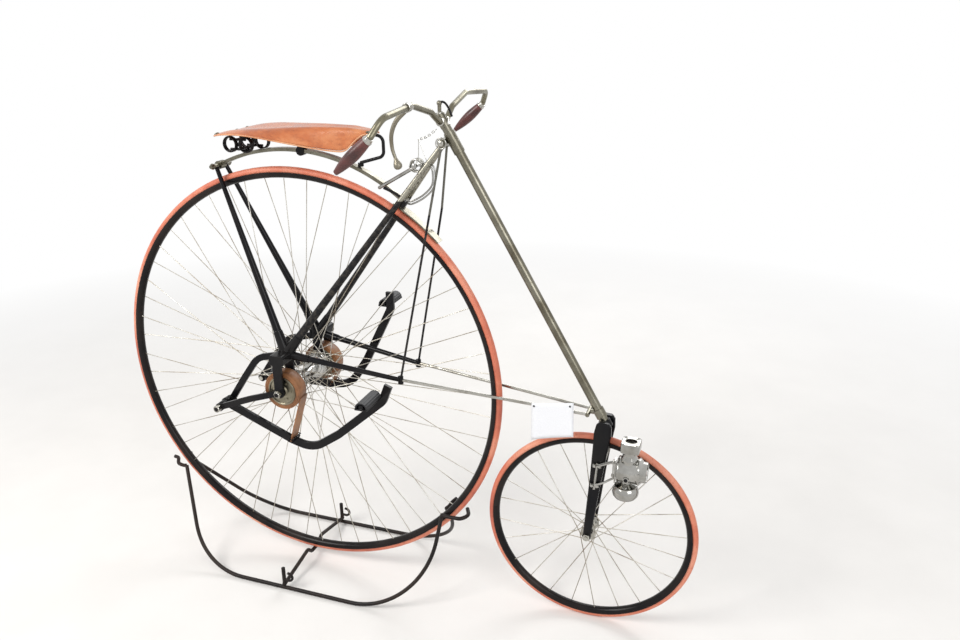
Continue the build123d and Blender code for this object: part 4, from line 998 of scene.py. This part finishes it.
# Lamp: a drum lying fore and aft with a lens in front, an oil font below and a square chimney on a neck
LAMP_AT = from_front(0.11, -0.062, 0.245)
LAMP_DRUM = ((0.004, -0.031), (0.027, -0.031), (0.0325, -0.03), (0.0352, -0.0285), (0.036, -0.0265),
             (0.035, -0.0245), (0.0342, -0.0235), (0.0342, 0.0215), (0.035, 0.023), (0.0368, 0.025),
             (0.0378, 0.0275), (0.037, 0.0305), (0.0345, 0.0325), (0.029, 0.038), (0.0285, 0.0488),
             (0.0268, 0.0492), (0.0263, 0.0448), (0.018, 0.036), (0.004, 0.03))
LAMP_FONT = ((0.003, -0.086), (0.02, -0.0855), (0.0295, -0.0815), (0.0345, -0.0745), (0.0358, -0.067),
             (0.035, -0.059), (0.032, -0.052), (0.03, -0.049), (0.03, -0.0465), (0.018, -0.044),
             (0.013, -0.04), (0.0125, -0.03))
LAMP_NECK = ((0.023, 0.02), (0.0235, 0.033), (0.0225, 0.039), (0.0185, 0.045), (0.0178, 0.051),
             (0.0195, 0.058), (0.023, 0.0612))
CAP_HALF = (0.0255, 0.0265)
CAP_FOOT = 0.06
CAP_TOP = 0.087
CAP_HOLE = (0.015, 0.0105)
CAP_STEPS = 48
CAP_SHIFT = 0.002
CAP_BLUNT = 7
# Rings up the chimney's outside, then down its hole; each row is a height and a share of the full size
CAP_RINGS = ((CAP_FOOT, 0.9), (CAP_FOOT + 0.001, 0.98), (CAP_FOOT + 0.004, 1.0), (CAP_TOP - 0.003, 1.0),
             (CAP_TOP - 0.0008, 0.97), (CAP_TOP, 0.92))
HOLE_RINGS = ((CAP_TOP, 1.12), (CAP_TOP + 0.0014, 1.08), (CAP_TOP + 0.001, 1.0), (CAP_TOP - 0.012, 0.98))
# A black plug down in the chimney's hole: painted shade of the hole's inside
HOLE_SHADE_RINGS = ((CAP_TOP - 0.0118, 0.97), (CAP_TOP - 0.009, 0.9))
FONT_BACK = 0.006
KNOB_AT = (-0.002, -0.0335, -0.012)
KNOB = ((0.007, 0), (0.0078, 0.001), (0.0078, 0.003), (0.0062, 0.0036))
KNOB_END = ((0.0058, 0.003), (0.005, 0.005), (0.0025, 0.0062), (0.0005, 0.0065))
HINGE_AT = (0.03, -0.035, 0.0)
HINGE_HALF = 0.012
HINGE_RADIUS = 0.0028
FILLER_AT = (-0.006, -0.018, -0.047)
FILLER_WAY = (0, -0.5, 0.866)
FILLER = ((0.0062, 0), (0.0068, 0.001), (0.0068, 0.006), (0.0055, 0.0072))


def cap_ring(height, share, hole=False):
    """A ring about the chimney: a blunt square outside, an oval at its hole."""
    half = CAP_HOLE if hole else CAP_HALF
    ring = []
    for turn in angles(CAP_STEPS):
        along, out = cos(turn), sin(turn)
        reach = share if hole else share * (abs(along) ** CAP_BLUNT + abs(out) ** CAP_BLUNT) ** (-1 / CAP_BLUNT)
        ring.append(LAMP_AT + Vector((CAP_SHIFT + half[0] * reach * along, half[1] * reach * out, height)))
    return ring


def add_lamp_body():
    body, dark = Form(), Form()
    body.turned(LAMP_DRUM, LAMP_AT, AHEAD, 64)
    body.turned(LAMP_FONT, LAMP_AT - AHEAD * FONT_BACK, UP, 56)
    body.turned(LAMP_NECK, LAMP_AT, UP, 48)
    body.skin([cap_ring(*row) for row in CAP_RINGS] + [cap_ring(*row, True) for row in HOLE_RINGS])
    # the chimney's hole ends in a black plug: painted shade
    dark.skin([cap_ring(*row, True) for row in HOLE_SHADE_RINGS])
    body.turned(KNOB, LAMP_AT + Vector(KNOB_AT), -ACROSS, 24)
    dark.turned(KNOB_END, LAMP_AT + Vector(KNOB_AT), -ACROSS, 20)
    hinge = LAMP_AT + Vector(HINGE_AT)
    body.tube([hinge - UP * HINGE_HALF, hinge + UP * HINGE_HALF], HINGE_RADIUS, 12)
    body.turned(FILLER, LAMP_AT + Vector(FILLER_AT), FILLER_WAY, 20)
    body.piece("lamp_body", "steering", LAMP_NICKEL, 28, slot="bright_nickel", node="lamp")
    dark.piece("lamp_dark_parts", "steering", BLACK_ENAMEL, 30)


add_lamp_body()


# Lamp bracket: a clamp bar down the right blade with two rising arms to a plate behind the lamp
BRACKET_BAR = ((0.0212, -0.0432, 0.24), (0.015, -0.0462, 0.158))
BAR_RADIUS = 0.0034
BRACKET_CLAMPS = ((0.0205, -0.0425, 0.231), (0.016, -0.0452, 0.17))
CLAMP_SIZE = (0.024, 0.005, 0.01)
CLAMP_BOLTS = ((0.007, -0.002, 0), (-0.007, -0.002, 0))
CLAMP_BOLT = (0.0046, 0.005)
UPPER_ARM = ((0.0205, -0.047, 0.232), (0.048, -0.0515, 0.248), (0.0725, -0.056, 0.26))
LOWER_ARM = ((0.0165, -0.047, 0.171), (0.044, -0.0515, 0.188), (0.0725, -0.056, 0.212))
ARM_APART = 0.0035
UPPER_RADIUS = 0.0026
LOWER_RADIUS = 0.0032
BRACKET_PLATES = (((0.0735, -0.06, 0.237), (0.003, 0.02, 0.068)),
                  ((0.068, -0.06, 0.24), (0.003, 0.014, 0.052)))
PLATE_BOLTS = ((0.067, -0.06, 0.22), (0.067, -0.06, 0.258))
PLATE_BOLT_LENGTH = 0.009
PLATE_BOLT_RADIUS = 0.003
PLATE_BOLT = (0.0046, 0.004)


def add_lamp_bracket():
    form = Form()
    form.tube([from_front(*place) for place in BRACKET_BAR], BAR_RADIUS, 12)
    for clamp in BRACKET_CLAMPS:
        form.box(from_front(*clamp), CLAMP_SIZE)
        for place in CLAMP_BOLTS:
            form.bolt(from_front(*clamp) + Vector(place), -ACROSS, *CLAMP_BOLT)
    for out in (-ARM_APART, ARM_APART):
        form.tube([from_front(*place) + ACROSS * out for place in UPPER_ARM], UPPER_RADIUS, 10)
    form.tube([from_front(*place) for place in LOWER_ARM], LOWER_RADIUS, 10)
    for place, size in BRACKET_PLATES:
        form.box(from_front(*place), size)
    for place in PLATE_BOLTS:
        head = from_front(*place)
        form.bolt(head, -AHEAD, *PLATE_BOLT)
        form.tube([head, head + AHEAD * PLATE_BOLT_LENGTH], PLATE_BOLT_RADIUS, 10)
    form.piece("lamp_carrier", "steering", LAMP_NICKEL, 30, slot="bright_nickel", node="lamp_bracket")


add_lamp_bracket()


# Stand: each side rod ends in a hook about the tyre, and a small hook stands ahead of each peg
# Rows are ahead of the rear axle, out and above the floor
STAND_HOOKS = (
    ((0.4467, -0.019, 0.264), (0.456, -0.025, 0.2655), (0.49, -0.0275, 0.267), (0.512, -0.0265, 0.269),
     (0.527, -0.006, 0.272), (0.516, 0.02, 0.276)),
    ((0.4467, 0.019, 0.264), (0.454, 0.023, 0.27), (0.464, 0.0262, 0.285), (0.478, 0.027, 0.3)),
    ((-0.489, -0.019, 0.264), (-0.499, -0.025, 0.2665), (-0.516, -0.025, 0.272),
     (-0.532, -0.005, 0.278), (-0.548, -0.002, 0.28)),
    ((-0.489, 0.019, 0.264), (-0.499, 0.025, 0.268), (-0.508, 0.0262, 0.278), (-0.503, 0.027, 0.288)),
)
STAND_ROD = 0.006
PEG_HOOK = ((-0.025, 0.036), (-0.005, 0.035), (0.005, 0.045), (0.001, 0.058), (-0.011, 0.062))
PEG_HOOK_OUT = 0.19
PEG_HOOK_ROD = 0.0042


def add_stand_hooks():
    form = Form()
    for line in STAND_HOOKS:
        path = [Vector((REAR.x + ahead, out, height)) for ahead, out, height in line]
        form.tube(curve_through(path, 5), STAND_ROD, 14)
    for side in (-1, 1):
        hook = [Vector((REAR.x + ahead, side * PEG_HOOK_OUT, height)) for ahead, height in PEG_HOOK]
        form.tube(curve_through(hook, 5), PEG_HOOK_ROD, 12)
    form.piece("stand_hooks", "frame", STAND_STEEL, 40)


add_stand_hooks()


# Tag: a blank card tied to the right front rod
TAG_OUT = -0.0365
TAG_CORNERS = ((0.73, 0.694), (0.848, 0.712), (0.851, 0.611), (0.732, 0.583))
TAG_COLUMNS = 12
TAG_ROWS = 10
TAG_CURL = -0.004
TAG_THICK = 0.0008
# Two black discs for the card's string holes, which are not cut: painted shade of the holes
HOLE_SHADES = ((0.7375, 0.6865), (0.8385, 0.7005))
HOLE_SHADE_DISC = ((0.0028, 0.0), (0.003, 0.0004), (0.0024, 0.0008), (0.0006, 0.0009))
HOLE_SHADE_OUT = 0.001
STRINGS_AT = (0.775, 0.805)
STRING_RADIUS = 0.0007
ROD_START = (0.3514, -0.064, 0.722)
ROD_SLOPE = (0.0826, -0.0866)
LOOP_HALF = (0.0066, 0.0062)
LOOP_SHIFT = 0.0016


def around_rod(ahead):
    """A loop of string about the right front rod."""
    gone = ahead - ROD_START[0]
    middle = Vector((REAR.x + ahead, ROD_START[1] + ROD_SLOPE[0] * gone, ROD_START[2] + ROD_SLOPE[1] * gone))
    middle.y -= LOOP_SHIFT
    return [middle + Vector((0, LOOP_HALF[0] * cos(turn), LOOP_HALF[1] * sin(turn))) for turn in angles(16)]


def add_tag():
    corners = [Vector((REAR.x + ahead, TAG_OUT, above)) for ahead, above in TAG_CORNERS]
    rows = []
    for row in range(TAG_ROWS + 1):
        fall = row / TAG_ROWS
        left, right = corners[0].lerp(corners[3], fall), corners[1].lerp(corners[2], fall)
        shares = [column / TAG_COLUMNS for column in range(TAG_COLUMNS + 1)]
        curl = ACROSS * (TAG_CURL * fall)
        rows.append([left.lerp(right, share) + curl * (2 * share - 1) ** 2 for share in shares])
    thicken(Form().sheet(rows).piece("blank_tag", "frame", WHITE_CARD, 60, slot="bright_nickel"), TAG_THICK, 0)
    hole_shade, string = Form(), Form()
    # black discs where the string holes are: painted shade
    for ahead, above in HOLE_SHADES:
        hole_shade.turned(HOLE_SHADE_DISC, (REAR.x + ahead, TAG_OUT - HOLE_SHADE_OUT, above), -ACROSS, 16)
    hole_shade.piece("tag_hole_shades", "frame", BLACK_ENAMEL, 40)
    for ahead in STRINGS_AT:
        string.tube(around_rod(ahead), STRING_RADIUS, 6, closed=True)
    string.piece("tag_string", "frame", WHITE_CARD, 60, slot="strap_leather")


add_tag()


# Floor and light
FLOOR_RADIUS = 30.0
FLOOR_SIDES = 64
FLOOR_HEIGHT = -0.0005
FLOOR_CLEAR = 1.7  # how far out the floor keeps its own colour
FLOOR_WHITE = 4.2  # how far out it is as white as the backdrop
WORLD_LIGHT = 0.62
# Each light's name, place, target, size, power in watts and colour
LIGHTS = (
    ("key", (-2.2, -2.6, 3.4), (0, 0, 0.7), (1.8, 1.8), 120.0, (1.0, 0.98, 0.95)),
    ("fill", (3.2, -2.4, 2.4), (0.1, 0, 0.6), (2.2, 2.2), 55.0, (0.97, 0.98, 1.0)),
    ("back", (0.4, 3.4, 3.0), (0, 0, 0.8), (2.5, 1.5), 60.0, (1.0, 1.0, 1.0)),
)


def seen(tree):
    """1 for rays from the camera and for those that gloss and glass send on, 0 for the light on the object."""
    rays = tree.node("LightPath").outputs
    total = rays["Is Camera Ray"]
    for name in ("Is Glossy Ray", "Is Transmission Ray"):
        total = tree.maths("MAXIMUM", total, rays[name])
    return total


def add_floor():
    """A pale floor that fades to the white of the backdrop away from the bicycle."""
    rim = [(FLOOR_RADIUS * cos(turn), FLOOR_RADIUS * sin(turn), FLOOR_HEIGHT) for turn in angles(FLOOR_SIDES)]
    mesh = bpy.data.meshes.new("floor")
    mesh.from_pydata(rim, [], [tuple(range(FLOOR_SIDES))])
    floor = placed("floor", mesh)
    shader = Shader("floor").set(Metallic=0.0, Specular_IOR_Level=0.2)
    grain = shader.noise(3.0, 5.0)
    shader.set(Base_Color=shader.ramp(grain, (0.3, (0.78, 0.765, 0.745)), (0.7, (0.82, 0.805, 0.785))))
    shader.set(Roughness=shader.spread(grain, 0.75, 0.9))
    reach = shader.node("VectorMath")
    reach.operation = "LENGTH"
    shader.put(reach.inputs[0], shader.place)
    fade = shader.spread(reach.outputs["Value"], 0.0, 1.0, FLOOR_CLEAR, FLOOR_WHITE)
    mixed = shader.node("MixShader", Fac=shader.maths("MULTIPLY", fade, seen(shader)))
    shader.put(mixed.inputs[1], shader.principled.outputs["BSDF"])
    shader.put(mixed.inputs[2], shader.node("Emission").outputs["Emission"])
    shader.put(shader.tree.nodes["Material Output"].inputs["Surface"], mixed.outputs["Shader"])
    floor.data.materials.append(shader.material)


def add_light(name, place, target, size, watts, colour):
    data = bpy.data.lights.new(name, "AREA")
    data.shape = "RECTANGLE"
    data.size, data.size_y = size
    data.energy = watts
    data.color = colour
    light = placed(name, data)
    light.location = place
    light.rotation_mode = "QUATERNION"
    light.rotation_quaternion = (Vector(target) - Vector(place)).to_track_quat("-Z", "Y")


def add_world():
    world = bpy.data.worlds.new("studio")
    world.use_nodes = True
    tree = Nodes(world.node_tree)
    background = world.node_tree.nodes["Background"]
    tree.put(background.inputs["Strength"], tree.spread(seen(tree), WORLD_LIGHT, 1.0, 0.0, 1.0))
    tree.put(background.inputs["Color"], (1.0, 1.0, 1.0, 1.0))
    bpy.context.scene.world = world


add_floor()
add_world()
for light in LIGHTS:
    add_light(*light)
bpy.context.scene.view_settings.view_transform = "Standard"
